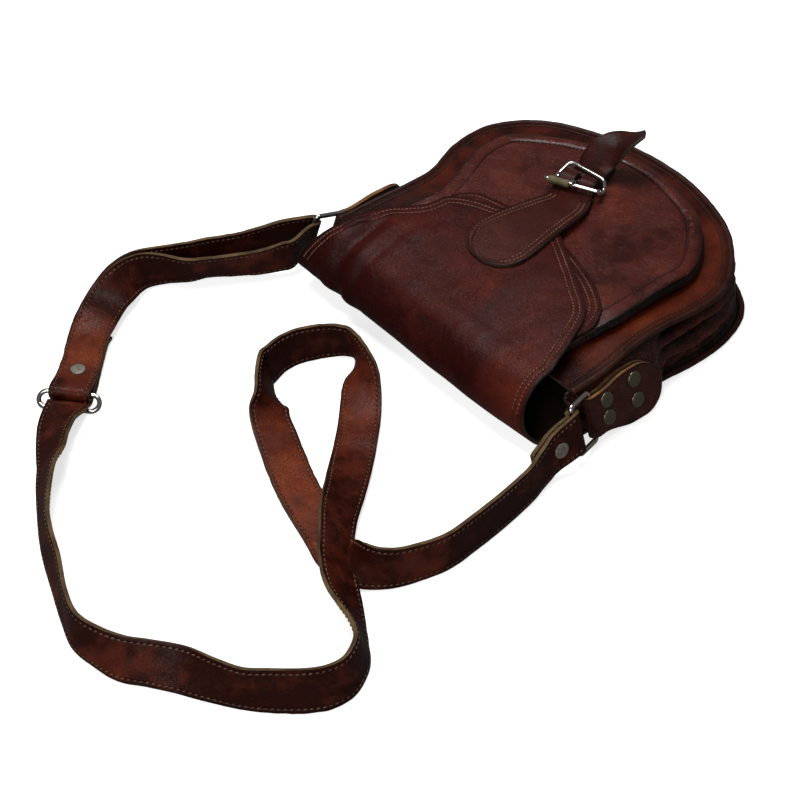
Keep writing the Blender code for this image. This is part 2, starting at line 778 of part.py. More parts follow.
def build_pocket(materials):
    """Front pocket: a shallow gusset, and the panel over it."""
    red, dark = materials["leather_red"], materials["leather_dark"]
    seam = seam_line(POCKET_SHARES, POCKET_LENGTH, POCKET_HALF_WIDTH, POCKET_TOP, 56)
    middle = (0.0, POCKET_LENGTH * 0.6)
    panel("pocket_panel", closed_outline(seam, 8), middle, pocket_under, POCKET_LEATHER, red)
    count, rows = 60, 4
    line = seam_line(POCKET_SHARES, POCKET_LENGTH, POCKET_HALF_WIDTH, POCKET_TOP, count)
    normals = plan_normals(line)
    sections = []
    for (x, down), normal in zip(line, normals):
        outward = Vector((-normal[0], -normal[1], 0))
        outer, inner = [], []
        for row in range(rows + 1):
            share = row / rows
            out = POCKET_GUSSET_BULGE * math.sin(math.pi * share) - SEAM_INSET
            for face, depth in ((outer, out), (inner, out - POCKET_GUSSET_LEATHER)):
                spot = point(x, down, 0) + outward * depth
                away = spot.y + ORIGIN_FROM_FOLD
                bottom = front_over(spot.x, away) + GAP
                top = pocket_under(x, down) - GAP
                spot.z = bottom + (top - bottom) * share
                face.append(spot)
        sections.append(outer + inner[::-1])
    loft("pocket_gusset", sections, dark)


def edge_points(shares, count):
    keys = [(x * FLAP_HALF_WIDTH, down * FLAP_LENGTH) for x, down in shares]
    return resample(smooth_points(keys, 6), count)


def build_flap(materials):
    """Fold over the top, the flap, the layer under its edge and the teardrop billet."""
    red = materials["leather_red"]
    build_fold(red)
    edge = edge_points(FLAP_EDGE_SHARES, 58)
    outline = closed_outline(edge, 10)
    start = FLAP_HINGE_DOWN + GAP + LEATHER / 2
    outline = [[x, max(down, start)] for x, down in outline]
    middle = (0.010, FLAP_LENGTH * 0.5)
    panel("main_flap", outline, middle, flap_under, LEATHER, red)
    lower = closed_outline(edge_points(UNDERLAY_EDGE_SHARES, 40), 8)
    middle = (0.010, FLAP_LENGTH * 0.7)
    dark = materials["leather_dark"]
    panel("flap_underlay", lower, middle, underlay_under, UNDERLAY_LEATHER, dark)
    build_billet(red)


def build_fold(material):
    """The leather that turns over the top between the back and the flap."""
    sections = []
    keys = smooth_points(FOLD_PROFILE, 3)
    last = len(keys) - 1
    for index, key in enumerate(keys):
        ahead, behind = keys[min(index + 1, last)], keys[max(index - 1, 0)]
        run = Vector((0, ahead[0] - behind[0], ahead[1] - behind[1])).normalized()
        if index == 0:
            sections += [fold_section(key, run, -beyond, left) for beyond, left in ROUND_END_SHARES]
        sections.append(fold_section(key, run, 0.0, 1.0))
        if index == last:
            sections += [fold_section(key, run, beyond, left) for beyond, left in ROUND_END_SHARES[::-1]]
    loft("flap_fold", sections, material)


def fold_section(key, run, beyond, share):
    """Section of the fold at a profile key, moved beyond it and thinned at a round end."""
    down, height, left, right = key
    move = run * (LEATHER / 2 * beyond)
    normal = Vector((0, -run.z, run.y)) * (LEATHER / 2 * share)
    spans = 6
    section = []
    for step in range(spans + 1):
        x = left + (right - left) * step / spans
        section.append(point(x, down, height) + move + normal)
    for step in range(spans, -1, -1):
        x = left + (right - left) * step / spans
        section.append(point(x, down, height) + move - normal)
    return section


def build_billet(material):
    """Teardrop patch that runs into the tongue through the buckle."""
    line = []
    for x, down, height, half, turn in smooth_points(BILLET_ROUTE, 3):
        angle = math.radians(turn)
        if down < FLAP_LENGTH:
            height = flap_under(x, down) + LEATHER + GAP + BILLET_LEATHER / 2
        line.append((point(x, down, height), Vector((math.cos(angle), math.sin(angle), 0)), half))
    billet = strip("closure_billet", line, BILLET_LEATHER, material)
    place, axis, travel = buckle_frame()
    reach = PRONG_LEATHER_SLOT
    middle = place - travel * (reach * 0.85) + Vector((0, 0, reach))
    cut(billet, [box_cutter(middle, axis, travel, (reach / 2, reach * 0.95, reach * 1.5), material)])


def box_cutter(middle, axis, travel, half, material):
    """Box with half sizes along an axis, along a travel direction and upward."""
    verts = []
    for sx in (-1, 1):
        for sy in (-1, 1):
            for sz in (-1, 1):
                spot = middle + axis * (sx * half[0]) + travel * (sy * half[1])
                verts.append(spot + Vector((0, 0, sz * half[2])))
    faces = ((0, 1, 3, 2), (4, 6, 7, 5), (0, 4, 5, 1), (2, 3, 7, 6), (0, 2, 6, 4), (1, 5, 7, 3))
    return add_mesh("cutter", verts, faces, material, smooth=False)


def buckle_frame():
    """Middle of the hidden bar, its axis, and the way from the near to the far bar."""
    near_left, near_right, far_right, far_left = BUCKLE_CORNERS
    left = [(a + b) / 2 for a, b in zip(near_left, far_left)]
    right = [(a + b) / 2 for a, b in zip(near_right, far_right)]
    x, down = [(a + b) / 2 for a, b in zip(left, right)]
    loop = BUCKLE_WIRE_RADIUS + BAR_CLEARANCE + CHAPE_LEATHER
    height = pocket_over(x, down) + GAP + SEAM_INSET / 2 + loop
    axis = (point(*right, height) - point(*left, height)).normalized()
    travel = Vector((0, 0, 1)).cross(axis)
    return point(x, down, height), axis, travel


def build_buckle(materials):
    """Wire frame, its hidden bar, the roller, the prong and the chape."""
    wire = materials["nickel_wire"]
    place, axis, travel = buckle_frame()
    near_left, near_right, far_right, far_left = BUCKLE_CORNERS
    heights = (NEAR_BAR_HEIGHT, NEAR_BAR_HEIGHT, FAR_BAR_HEIGHT, FAR_BAR_HEIGHT)
    corners = [point(*corner, height) for corner, height in zip(BUCKLE_CORNERS, heights)]
    build_buckle_wire(corners, place, axis, travel, wire)
    near = (corners[1] - corners[0]).normalized()
    start = corners[0] + near * ROLLER_START
    inner = BUCKLE_WIRE_RADIUS + BAR_CLEARANCE
    ring = []
    for radius, along in ((inner, 0), (ROLLER_RADIUS, 0), (ROLLER_RADIUS, ROLLER_LENGTH), (inner, ROLLER_LENGTH)):
        ring.append((radius, along))
    lathe_ring("buckle_roller", ring, start, near, materials["aged_brass"])
    build_prong(place, axis, travel, wire)
    build_chape(place, axis, travel, materials["leather_dark"])


def lathe_ring(name, profile, place, axis, material, count=16):
    """Ring of revolution round an axis, from a closed profile of (radius, along)."""
    turn = Vector((0, 0, 1)).rotation_difference(axis).to_matrix()
    verts, faces = [], []
    size = len(profile)
    for step in range(count):
        angle = math.tau * step / count
        for radius, along in profile:
            spot = Vector((radius * math.cos(angle), radius * math.sin(angle), along))
            verts.append(place + turn @ spot)
    for step in range(count):
        low, high = step * size, ((step + 1) % count) * size
        for index in range(size):
            after = (index + 1) % size
            faces.append((low + index, low + after, high + after, high + index))
    return add_mesh(name, verts, faces, material)


def build_buckle_wire(corners, place, axis, travel, material):
    """Outer loop whose sides dip to the hidden bar, fused with that bar."""
    near_left, near_right, far_right, far_left = corners
    half = (near_right - near_left).length / 2 + (far_right - far_left).length / 2
    left = place - axis * (half / 2)
    right = place + axis * (half / 2)
    dip = travel * BUCKLE_BOW_REACH
    bend = BUCKLE_BOW_REACH * 0.7
    spots = [near_left, near_right, right - dip, right + dip, far_right, far_left, left + dip, left - dip]
    radii = [BUCKLE_CORNER] * 2 + [bend] * 2 + [BUCKLE_CORNER] * 2 + [bend] * 2
    loop = rounded_loop(spots, radii, 3)
    frame = tube("buckle_frame", loop, BUCKLE_WIRE_RADIUS, material, closed=True, resolution=1)
    bar = tube("bar", [left, right], BUCKLE_WIRE_RADIUS * 0.97, material)
    join(frame, bar)


def join(target, added):
    """Fuse two wires into one body."""
    depsgraph = bpy.context.evaluated_depsgraph_get()
    depsgraph.update()
    parts = []
    for source in (target, added):
        mesh = bpy.data.meshes.new_from_object(source.evaluated_get(depsgraph))
        mesh.materials.clear()
        mesh.materials.append(source.data.materials[0])
        parts.append(mesh)
    name = target.name
    bpy.data.objects.remove(target)
    bpy.data.objects.remove(added)
    objects = []
    for label, mesh in zip((name, "fused"), parts):
        made = bpy.data.objects.new(label, mesh)
        bpy.context.scene.collection.objects.link(made)
        objects.append(made)
    modifier = objects[0].modifiers.new("fuse", "BOOLEAN")
    modifier.operation = "UNION"
    modifier.solver = "EXACT"
    modifier.object = objects[1]
    depsgraph = bpy.context.evaluated_depsgraph_get()
    depsgraph.update()
    mesh = bpy.data.meshes.new_from_object(objects[0].evaluated_get(depsgraph))
    objects[0].modifiers.clear()
    objects[0].data = mesh
    bpy.data.objects.remove(objects[1])
    return objects[0]


def build_prong(place, axis, travel, material):
    """Flat prong curled round the hidden bar, that rests on the near bar."""
    radius = BUCKLE_WIRE_RADIUS + BAR_CLEARANCE + PRONG_THICKNESS / 2
    line = []
    for step in range(13):
        angle = math.radians(232 + step * 20)
        spot = travel * math.cos(angle) + Vector((0, 0, 1)) * math.sin(angle)
        line.append((place + spot * radius, axis, PRONG_WIDTH / 2))
    rest = NEAR_BAR_HEIGHT + BUCKLE_WIRE_RADIUS + GAP + PRONG_THICKNESS / 2
    reach = PRONG_LENGTH
    rise = rest - place.z
    for away, lift, wide in PRONG_RISE_SHARES:
        spot = place - travel * (reach * away) + Vector((0, 0, rise * lift))
        line.append((spot, axis, PRONG_WIDTH / 2 * wide))
    strip("buckle_prong", line, PRONG_THICKNESS, material)


def build_chape(place, axis, travel, material):
    """Strip folded round the hidden bar, with both leaves on the pocket."""
    radius = BUCKLE_WIRE_RADIUS + BAR_CLEARANCE + CHAPE_LEATHER / 2
    half = CHAPE_WIDTH / 2
    lower, upper = [], []
    for step in range(13):
        share = step / 12
        for leaf, base, length in ((lower, 0, CHAPE_LENGTH), (upper, 1, CHAPE_LENGTH * 0.82)):
            along = radius + (length - radius) * share
            spot = place + travel * along
            floor = pocket_over(spot.x, spot.y + ORIGIN_FROM_FOLD) + GAP + SEAM_INSET / 2
            settled = floor + CHAPE_LEATHER / 2 + base * (CHAPE_LEATHER + GAP)
            start = place.z + (2 * base - 1) * radius
            spot.z = start + (settled - start) * ease(share * 5)
            leaf.append((spot, axis, half))
    bend = []
    for step in range(1, 8):
        angle = math.pi * step / 8
        spot = -travel * math.sin(angle) - Vector((0, 0, 1)) * math.cos(angle)
        bend.append((place + spot * radius, axis, half))
    first = place - Vector((0, 0, 1)) * radius
    second = place + Vector((0, 0, 1)) * radius
    line = lower[::-1] + [(first, axis, half)] + bend + [(second, axis, half)] + upper
    chape = strip("buckle_chape", line, CHAPE_LEATHER, material)
    reach = PRONG_LEATHER_SLOT
    cut(chape, [box_cutter(place, axis, travel, (reach / 2, reach, reach * 2), material)])


def build_tab(side, materials):
    """Tab folded round the ring's rod and riveted through both leaves and the gusset."""
    rod, normal, width = tab_frame(side)
    bend = WIRE_RADIUS + ROD_CLEARANCE + TAB_LEATHER / 2
    away = Vector((0, 1, 0))
    line = []
    leaf = []
    for step in range(13):
        share = 1 - math.cos(math.pi / 2 * (1 - step / 12))
        along = TAB_LENGTH * (1 - share)
        leaf.append((along, tab_half_width(along)))
    for along, half in leaf[::-1]:
        offset = TAB_HALF_SPACING + (bend - TAB_HALF_SPACING) * (1 - ease(along / (bend * 2)))
        line.append((rod + away * along - normal * offset, width, half))
    for step in range(1, 8):
        angle = math.pi * step / 8
        spot = -away * math.sin(angle) - normal * math.cos(angle)
        line.append((rod + spot * bend, width, TAB_NECK_HALF_WIDTH))
    for along, half in leaf:
        offset = TAB_HALF_SPACING + (bend - TAB_HALF_SPACING) * (1 - ease(along / (bend * 2)))
        line.append((rod + away * along + normal * offset, width, half))
    hand = "right" if side > 0 else "left"
    tab = strip(f"tab_{hand}", line, TAB_LEATHER, materials["leather_tab"])
    face = TAB_HALF_SPACING + TAB_LEATHER / 2
    grip = face * 2 + GAP + GUSSET_LEATHER
    places = []
    for down, along in TAB_RIVETS:
        spot = rod + away * (down - TAB_ROD_DOWN) + width * along
        places.append(spot + normal * face)
    reach = grip * 1.6
    for target in (tab, bpy.data.objects["gusset"]):
        drill(target, places, normal, reach, materials["leather_tab"])
    for index, place in enumerate(places, 1):
        rivet(f"tab_rivet_{hand}_{index}", place, normal, grip, materials["aged_brass"])


def tab_half_width(along):
    """Neck at the ring, wider below it, with a round end."""
    wide = ease((along - TAB_NECK_LENGTH) / TAB_NECK_BLEND)
    spread = TAB_NECK_HALF_WIDTH + (TAB_HALF_WIDTH - TAB_NECK_HALF_WIDTH) * wide
    end = (along - (TAB_LENGTH - TAB_HALF_WIDTH)) / TAB_HALF_WIDTH
    if end > 0:
        spread = spread * math.sqrt(max(1 - (end * 0.985) ** 2, 0))
    return spread


def ring_frame(side):
    """Strap rod of a ring and the way from the tab's rod to it."""
    rod, normal, width = tab_frame(side)
    travel = normal * math.sin(RING_REST_SWING) - Vector((0, 1, 0)) * math.cos(RING_REST_SWING)
    return rod + travel * RING_LENGTH, travel


def build_ring(side, material):
    """Rectangular wire ring between a tab and the strap."""
    rod, normal, width = tab_frame(side)
    strap_rod, travel = ring_frame(side)
    edge = width * RING_HALF_HEIGHT
    corners = [rod - edge, rod + edge, strap_rod + edge, strap_rod - edge]
    hand = "right" if side > 0 else "left"
    loop = rounded_loop(corners, [RING_CORNER] * 4, 4)
    tube(f"ring_{hand}", loop, WIRE_RADIUS, material, closed=True, resolution=2)


def slider_frame():
    """Middle of the slider's low rod and high rod, and the rods' direction."""
    axis = Vector((math.cos(SLIDER_AXIS_TURN), math.sin(SLIDER_AXIS_TURN), 0))
    travel = Vector((-axis.y, axis.x, 0))
    bend = SLIDER_WIRE_RADIUS + ROD_CLEARANCE + STRAP_LEATHER / 2
    low_height = SLIDER_WIRE_RADIUS
    high_height = GROUND_LAYER + LAYER_STEP + bend
    run = math.sqrt(SLIDER_ROD_SPACING ** 2 - (high_height - low_height) ** 2)
    middle = point(follow_tabs(SLIDER_MIDDLE[0]), SLIDER_MIDDLE[1], 0)
    low = middle - travel * (run / 2) + Vector((0, 0, low_height))
    high = middle + travel * (run / 2) + Vector((0, 0, high_height))
    return low, high, axis, travel


def build_slider(material):
    """Long oval wire loop: the strap passes over its low rod and under its high rod."""
    low, high, axis, travel = slider_frame()
    middle = (low + high) / 2
    up = (high - low) / 2
    straight = SLIDER_HALF_LENGTH - up.length
    loop = []
    for side in (1, -1):
        for step in range(9):
            angle = math.pi * step / 8
            spot = axis * (straight + up.length * math.sin(angle)) - up * math.cos(angle)
            loop.append(middle + spot * side)
    tube("slider", loop, SLIDER_WIRE_RADIUS, material, closed=True, resolution=2)


def follow_tabs(x):
    """X of a place in the strap's lie, which keeps its ends at the ring tabs."""
    share = min(max(x / ROUTE_REACH, -1.0), 1.0)
    return x + (TAB_REACH - ROUTE_REACH) * share


def route_line(route, steps):
    """Stations of a strap that lies on the ground by its roll and lift."""
    half = STRAP_WIDTH / 2
    keys = smooth_points([(follow_tabs(key[0]), *key[1:]) for key in route], steps)
    last = len(keys) - 1
    line = []
    for index, (x, down, roll, lift) in enumerate(keys):
        angle = math.radians(roll)
        flat = STRAP_LEATHER / 2 * abs(math.cos(angle))
        height = half * abs(math.sin(angle)) + flat + lift + GAP
        ahead, behind = keys[min(index + 1, last)], keys[max(index - 1, 0)]
        travel = Vector((ahead[0] - behind[0], ahead[1] - behind[1], 0)).normalized()
        level = Vector((0, 0, 1)).cross(travel)
        width = level * math.cos(angle) + Vector((0, 0, 1)) * math.sin(angle)
        line.append((point(x, down, height), width, half))
    return line


def bridge(start, start_way, end, end_way, width_start, width_end, steps):
    """Stations between two ends, along a curve that meets both directions."""
    half = STRAP_WIDTH / 2
    reach = (end - start).length
    line = []
    for step in range(1, steps):
        t = step / steps
        a, b = (1 - t) ** 2 * (1 + 2 * t), t * (1 - t) ** 2 * reach
        c, d = t * t * (3 - 2 * t), -t * t * (1 - t) * reach
        spot = start * a + start_way * b + end * c + end_way * d
        line.append((spot, width_start.lerp(width_end, t).normalized(), half))
    return line


def arc_line(centre, from_way, to_way, width, radius, start, end, steps):
    """Stations round a rod, from one direction toward another."""
    half = STRAP_WIDTH / 2
    line = []
    for step in range(steps + 1):
        angle = math.radians(start + (end - start) * step / steps)
        spot = centre + (from_way * math.cos(angle) + to_way * math.sin(angle)) * radius
        line.append((spot, width, half))
    return line


def ground_way(line, index):
    step = 1 if index == 0 else -1
    travel = (line[index + step][0] - line[index][0]) * step
    return travel.normalized()


def build_strap(materials):
    """Strap from the right ring to the left one, its return run, and their rivets."""
    leather, brass = materials["leather_strap"], materials["aged_brass"]
    bend = WIRE_RADIUS + ROD_CLEARANCE + STRAP_LEATHER / 2
    lie = route_line(STRAP_ROUTE, 2)

    rod, way = ring_frame(1)
    width = tab_frame(1)[2]
    outer = way.cross(width) * -1
    entry = bridge(rod + outer * bend, way, lie[0][0], ground_way(lie, 0), width, lie[0][1], 5)
    turn = arc_line(rod, -outer, -way, width, bend, 0, 180, 8)
    main = entry + lie[:3]
    folded = []
    for index, (place, across, half) in enumerate(main):
        after = main[min(index + 1, len(main) - 1)][0]
        travel = (after - main[max(index - 1, 0)][0]).normalized()
        normal = travel.cross(across).normalized() * -1
        folded.append((place - normal * (STRAP_LEATHER + STRAP_FOLD_GAP), across, half))
    right_line = folded[:0:-1] + turn + entry + lie

    left_rod, left_way = ring_frame(-1)
    left_width = tab_frame(-1)[2] * -1
    left_outer = left_width.cross(left_way)
    end = left_rod + left_outer * bend
    leave = bridge(lie[-1][0], ground_way(lie, -1), end, -left_way, lie[-1][1], left_width, 5)
    trim = math.degrees(GAP * 2 / bend)
    quarter = arc_line(left_rod, left_outer, -left_way, left_width, bend, 0, 90 - trim, 4)
    strap = strip("strap", right_line + leave + quarter, STRAP_LEATHER, leather)

    back = route_line(RETURN_ROUTE, 3)
    left_width = -left_width
    quarter = arc_line(left_rod, -left_way, -left_outer, left_width, bend, trim, 90, 4)
    begin = left_rod - left_outer * bend
    enter = bridge(begin, left_way, back[0][0], ground_way(back, 0), left_width, back[0][1], 5)
    low, high, axis, travel = slider_frame()
    up = Vector((0, 0, 1))
    loop = SLIDER_WIRE_RADIUS + ROD_CLEARANCE + STRAP_LEATHER / 2
    rod_width = axis * (1 if back[-1][1].dot(axis) > 0 else -1)
    reach = bridge(back[-1][0], ground_way(back, -1), high + up * loop, -travel, back[-1][1], rod_width, 4)
    wrap = arc_line(high, up, -travel, rod_width, loop, 0, 180, 8)
    under = []
    upper = back + reach
    for place, across, half in upper[::-1][:10]:
        lowered = place.copy()
        lowered.z = GROUND_LAYER + LAYER_STEP
        under.append((lowered, across, half))
    run = quarter + enter + back + reach + wrap + under[1:]
    strap_return = strip("strap_return", run, STRAP_LEATHER, leather)

    rivet_strap_end(strap, main, folded, brass, leather)
    rivet_slider([strap, strap_return], back, brass, leather)


def rivet_strap_end(strap, main, folded, brass, leather):
    """Rivet through both legs of the fold at the right ring."""
    rod = ring_frame(1)[0]
    reach = [abs((spot[0] - rod).length - STRAP_RIVET_REACH) for spot in main]
    index = reach.index(min(reach))
    outer, inner = main[index][0], folded[index][0]
    normal = (outer - inner).normalized()
    face = outer + normal * (STRAP_LEATHER / 2)
    grip = STRAP_LEATHER * 2 + STRAP_FOLD_GAP
    drill(strap, [face], normal, grip * 1.8, leather)
    rivet("strap_end_rivet", face + normal * GAP, normal, grip + GAP * 2, brass)


def rivet_slider(targets, back, brass, leather):
    """Rivet through the return run and the leg that comes back under it."""
    place = back[-2][0]
    up = Vector((0, 0, 1))
    face = place + up * (STRAP_LEATHER / 2)
    grip = place.z + STRAP_LEATHER / 2 - GROUND_LAYER - STRAP_LEATHER / 2 - GAP
    drill(targets[1], [face], up, grip, leather)
    back_profile = (
        (RIVET_SHANK_RADIUS, -grip + STRAP_LEATHER / 2),
        (RIVET_SHANK_RADIUS, GAP),
        (RIVET_RADIUS, GAP),
        (RIVET_RADIUS * 0.96, GAP + RIVET_HEAD * 0.45),
        (RIVET_RADIUS * 0.72, GAP + RIVET_HEAD * 0.8),
        (RIVET_RADIUS * 0.3, GAP + RIVET_HEAD),
    )
    revolve("slider_rivet", back_profile, face, up, brass)


def main():
    for existing in list(bpy.data.objects):
        bpy.data.objects.remove(existing)
    materials = {name: make_material(name) for name in MATERIAL_SHARES}
    build_body(materials)
    build_pocket(materials)
    build_flap(materials)
    build_buckle(materials)
    for side in (1, -1):
        build_tab(side, materials)
        build_ring(side, materials["nickel_wire"])
    build_slider(materials["nickel_wire"])
    build_strap(materials)


main()
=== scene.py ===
"""Looks of a leather crossbody bag: its cuts of hide, their sewing, the wire fittings and the strap.

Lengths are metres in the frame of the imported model: +X across the bag, +Y from its top fold
to its lower edge and +Z out of its front. Most rules measure "down" from the fold.
"""
from __future__ import annotations
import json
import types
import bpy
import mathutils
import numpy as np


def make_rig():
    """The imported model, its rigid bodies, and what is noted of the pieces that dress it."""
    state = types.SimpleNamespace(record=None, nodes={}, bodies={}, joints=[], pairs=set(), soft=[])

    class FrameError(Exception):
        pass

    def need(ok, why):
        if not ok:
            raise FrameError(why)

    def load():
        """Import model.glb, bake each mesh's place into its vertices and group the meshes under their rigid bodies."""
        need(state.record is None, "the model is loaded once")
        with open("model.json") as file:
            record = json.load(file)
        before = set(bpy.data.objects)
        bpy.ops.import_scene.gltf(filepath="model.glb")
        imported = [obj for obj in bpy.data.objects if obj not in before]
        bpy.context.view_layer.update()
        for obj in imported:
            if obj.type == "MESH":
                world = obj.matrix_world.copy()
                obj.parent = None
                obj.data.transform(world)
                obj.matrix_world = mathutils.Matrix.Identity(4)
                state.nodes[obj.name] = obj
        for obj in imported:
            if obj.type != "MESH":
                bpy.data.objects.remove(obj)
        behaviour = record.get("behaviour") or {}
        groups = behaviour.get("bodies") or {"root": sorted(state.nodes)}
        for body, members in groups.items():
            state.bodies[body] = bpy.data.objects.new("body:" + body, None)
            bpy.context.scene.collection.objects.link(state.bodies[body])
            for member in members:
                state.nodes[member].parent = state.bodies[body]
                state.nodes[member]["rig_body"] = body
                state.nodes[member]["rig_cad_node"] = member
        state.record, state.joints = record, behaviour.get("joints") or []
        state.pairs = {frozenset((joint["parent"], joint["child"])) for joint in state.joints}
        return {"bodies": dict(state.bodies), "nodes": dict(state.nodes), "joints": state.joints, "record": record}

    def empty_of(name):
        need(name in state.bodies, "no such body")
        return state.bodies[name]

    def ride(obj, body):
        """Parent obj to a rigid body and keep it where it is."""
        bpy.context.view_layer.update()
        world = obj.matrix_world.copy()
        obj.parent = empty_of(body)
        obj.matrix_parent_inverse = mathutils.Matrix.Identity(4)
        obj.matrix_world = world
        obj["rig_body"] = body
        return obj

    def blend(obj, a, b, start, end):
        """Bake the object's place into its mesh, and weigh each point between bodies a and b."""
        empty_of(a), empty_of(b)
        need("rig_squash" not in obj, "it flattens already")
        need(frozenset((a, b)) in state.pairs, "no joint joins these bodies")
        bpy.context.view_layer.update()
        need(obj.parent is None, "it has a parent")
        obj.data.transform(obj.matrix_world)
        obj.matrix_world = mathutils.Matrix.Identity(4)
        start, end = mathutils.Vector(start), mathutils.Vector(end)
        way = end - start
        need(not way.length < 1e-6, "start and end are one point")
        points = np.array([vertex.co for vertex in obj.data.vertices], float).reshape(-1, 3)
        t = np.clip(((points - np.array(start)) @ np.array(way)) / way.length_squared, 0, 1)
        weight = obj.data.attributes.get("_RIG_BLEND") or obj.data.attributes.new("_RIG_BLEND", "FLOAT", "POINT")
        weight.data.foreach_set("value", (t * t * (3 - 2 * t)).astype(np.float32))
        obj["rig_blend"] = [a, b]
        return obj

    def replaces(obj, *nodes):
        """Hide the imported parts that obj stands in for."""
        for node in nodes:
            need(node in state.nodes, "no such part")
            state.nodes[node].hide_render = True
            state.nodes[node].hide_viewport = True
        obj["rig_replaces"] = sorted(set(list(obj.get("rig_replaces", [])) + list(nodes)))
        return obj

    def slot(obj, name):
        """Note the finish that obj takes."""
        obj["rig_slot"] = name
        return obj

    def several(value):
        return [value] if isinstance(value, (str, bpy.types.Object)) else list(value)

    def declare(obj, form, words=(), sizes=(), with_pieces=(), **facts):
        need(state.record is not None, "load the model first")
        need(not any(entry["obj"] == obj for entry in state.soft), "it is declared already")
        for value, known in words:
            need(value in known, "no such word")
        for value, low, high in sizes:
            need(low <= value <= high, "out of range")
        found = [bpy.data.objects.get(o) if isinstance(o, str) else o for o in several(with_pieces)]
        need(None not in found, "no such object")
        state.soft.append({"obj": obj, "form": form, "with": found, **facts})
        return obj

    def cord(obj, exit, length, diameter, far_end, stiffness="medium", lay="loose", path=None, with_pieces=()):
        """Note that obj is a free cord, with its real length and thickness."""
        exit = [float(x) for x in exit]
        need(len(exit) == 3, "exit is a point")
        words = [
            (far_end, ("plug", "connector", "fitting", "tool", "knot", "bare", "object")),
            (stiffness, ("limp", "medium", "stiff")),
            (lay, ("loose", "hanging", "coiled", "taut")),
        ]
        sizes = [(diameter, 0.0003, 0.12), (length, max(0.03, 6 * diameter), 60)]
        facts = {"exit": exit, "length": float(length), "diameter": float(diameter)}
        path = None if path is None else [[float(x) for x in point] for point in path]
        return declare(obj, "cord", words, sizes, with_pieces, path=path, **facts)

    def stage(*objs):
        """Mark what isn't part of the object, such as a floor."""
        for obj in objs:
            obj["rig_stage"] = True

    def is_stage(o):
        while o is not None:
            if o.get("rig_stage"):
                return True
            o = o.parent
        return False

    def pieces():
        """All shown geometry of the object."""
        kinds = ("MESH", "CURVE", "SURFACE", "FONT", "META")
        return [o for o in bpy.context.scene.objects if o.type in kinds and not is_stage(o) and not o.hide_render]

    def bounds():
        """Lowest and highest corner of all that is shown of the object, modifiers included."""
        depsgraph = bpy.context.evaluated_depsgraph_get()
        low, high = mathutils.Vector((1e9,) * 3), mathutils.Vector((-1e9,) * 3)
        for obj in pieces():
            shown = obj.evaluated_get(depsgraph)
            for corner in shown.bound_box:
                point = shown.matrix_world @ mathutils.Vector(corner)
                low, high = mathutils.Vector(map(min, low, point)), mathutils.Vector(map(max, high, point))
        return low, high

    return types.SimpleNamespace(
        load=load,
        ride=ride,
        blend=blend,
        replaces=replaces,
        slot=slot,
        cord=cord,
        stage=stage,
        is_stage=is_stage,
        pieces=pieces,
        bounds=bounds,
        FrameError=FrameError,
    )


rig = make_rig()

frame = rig.load()

import json
import logging
from dataclasses import dataclass, field
from enum import Enum
from math import copysign, cos, degrees, dist, exp, hypot, pi, radians, sin, sqrt, tau
from typing import Callable, Sequence

import bmesh
import bpy
import numpy as np
from mathutils import Vector, noise

LOG = logging.getLogger("crossbody_bag")
MODEL_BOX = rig.bounds()

Plan = tuple[float, float]
Colour = tuple[float, float, float]
Place = tuple[float, float, float]
Fold = tuple[float, float, float]
Triple = tuple[Vector, Vector, Vector]
Station = tuple[Vector, Vector, float]
Run = Sequence[Station]
Line = Sequence[Sequence[float]]
Points = list[list[float]]
Path = Sequence[Vector]
Face = tuple[int, ...]
Height = Callable[[float, float], float]
Piece = bpy.types.Object
Mesh = bpy.types.Mesh
Material = bpy.types.Material
Socket = bpy.types.NodeSocket

UP = Vector((0.0, 0.0, 1.0))
FOLD_SEED = 11


class Side(Enum):
    """The two ends of the bag, by the sign of their X."""

    RIGHT = 1
    LEFT = -1

    @property
    def label(self) -> str:
        """Word that ends the names of the pieces on this side."""
        return self.name.lower()


class Drawn(Enum):
    """Where a cut of hide keeps its drawn surface when it gets its thickness."""

    MIDDLE = 0.0
    OUTER = -1.0


# ---- curves and rules of shape


def ease(share: float) -> float:
    """Smooth step from 0 to 1."""
    share = min(max(share, 0.0), 1.0)
    return share * share * (3 - 2 * share)


def catmull(quad: Sequence[float], t: float) -> float:
    """Catmull-Rom value between the two middle numbers of four."""
    a, b, c, d = quad
    cubic = 3 * b - a - 3 * c + d
    square = 2 * a - 5 * b + 4 * c - d
    return (2 * b + (c - a) * t + square * t * t + cubic * t ** 3) / 2


def smooth_points(keys: Line, steps: int) -> Points:
    """Curve through equal tuples, open at both ends.

    Args:
        keys: The tuples that the curve runs through.
        steps: Points that each span gets.

    Returns:
        The curve's tuples, first and last key included.
    """
    first = [2 * a - b for a, b in zip(keys[0], keys[1])]
    last = [2 * a - b for a, b in zip(keys[-1], keys[-2])]
    padded = [first] + [list(key) for key in keys] + [last]
    result = []
    for start in range(len(keys) - 1):
        quads = list(zip(*padded[start:start + 4]))
        for step in range(steps):
            result.append([catmull(quad, step / steps) for quad in quads])
    result.append(list(keys[-1]))
    return result


def resample(points: Line, count: int, axes: int = 2) -> Points:
    """Same open curve as count points at equal spacing.

    Args:
        points: Points of the curve.
        count: Number of points wanted.
        axes: How many numbers of a point are its place.

    Returns:
        The new points.
    """
    rows = np.array(points, dtype=float)
    spans = np.linalg.norm(np.diff(rows[:, :axes], axis=0), axis=1)
    travelled = np.concatenate(([0.0], np.cumsum(spans)))
    targets = np.linspace(0.0, travelled[-1], count)
    return np.stack([np.interp(targets, travelled, column) for column in rows.T], axis=1).tolist()


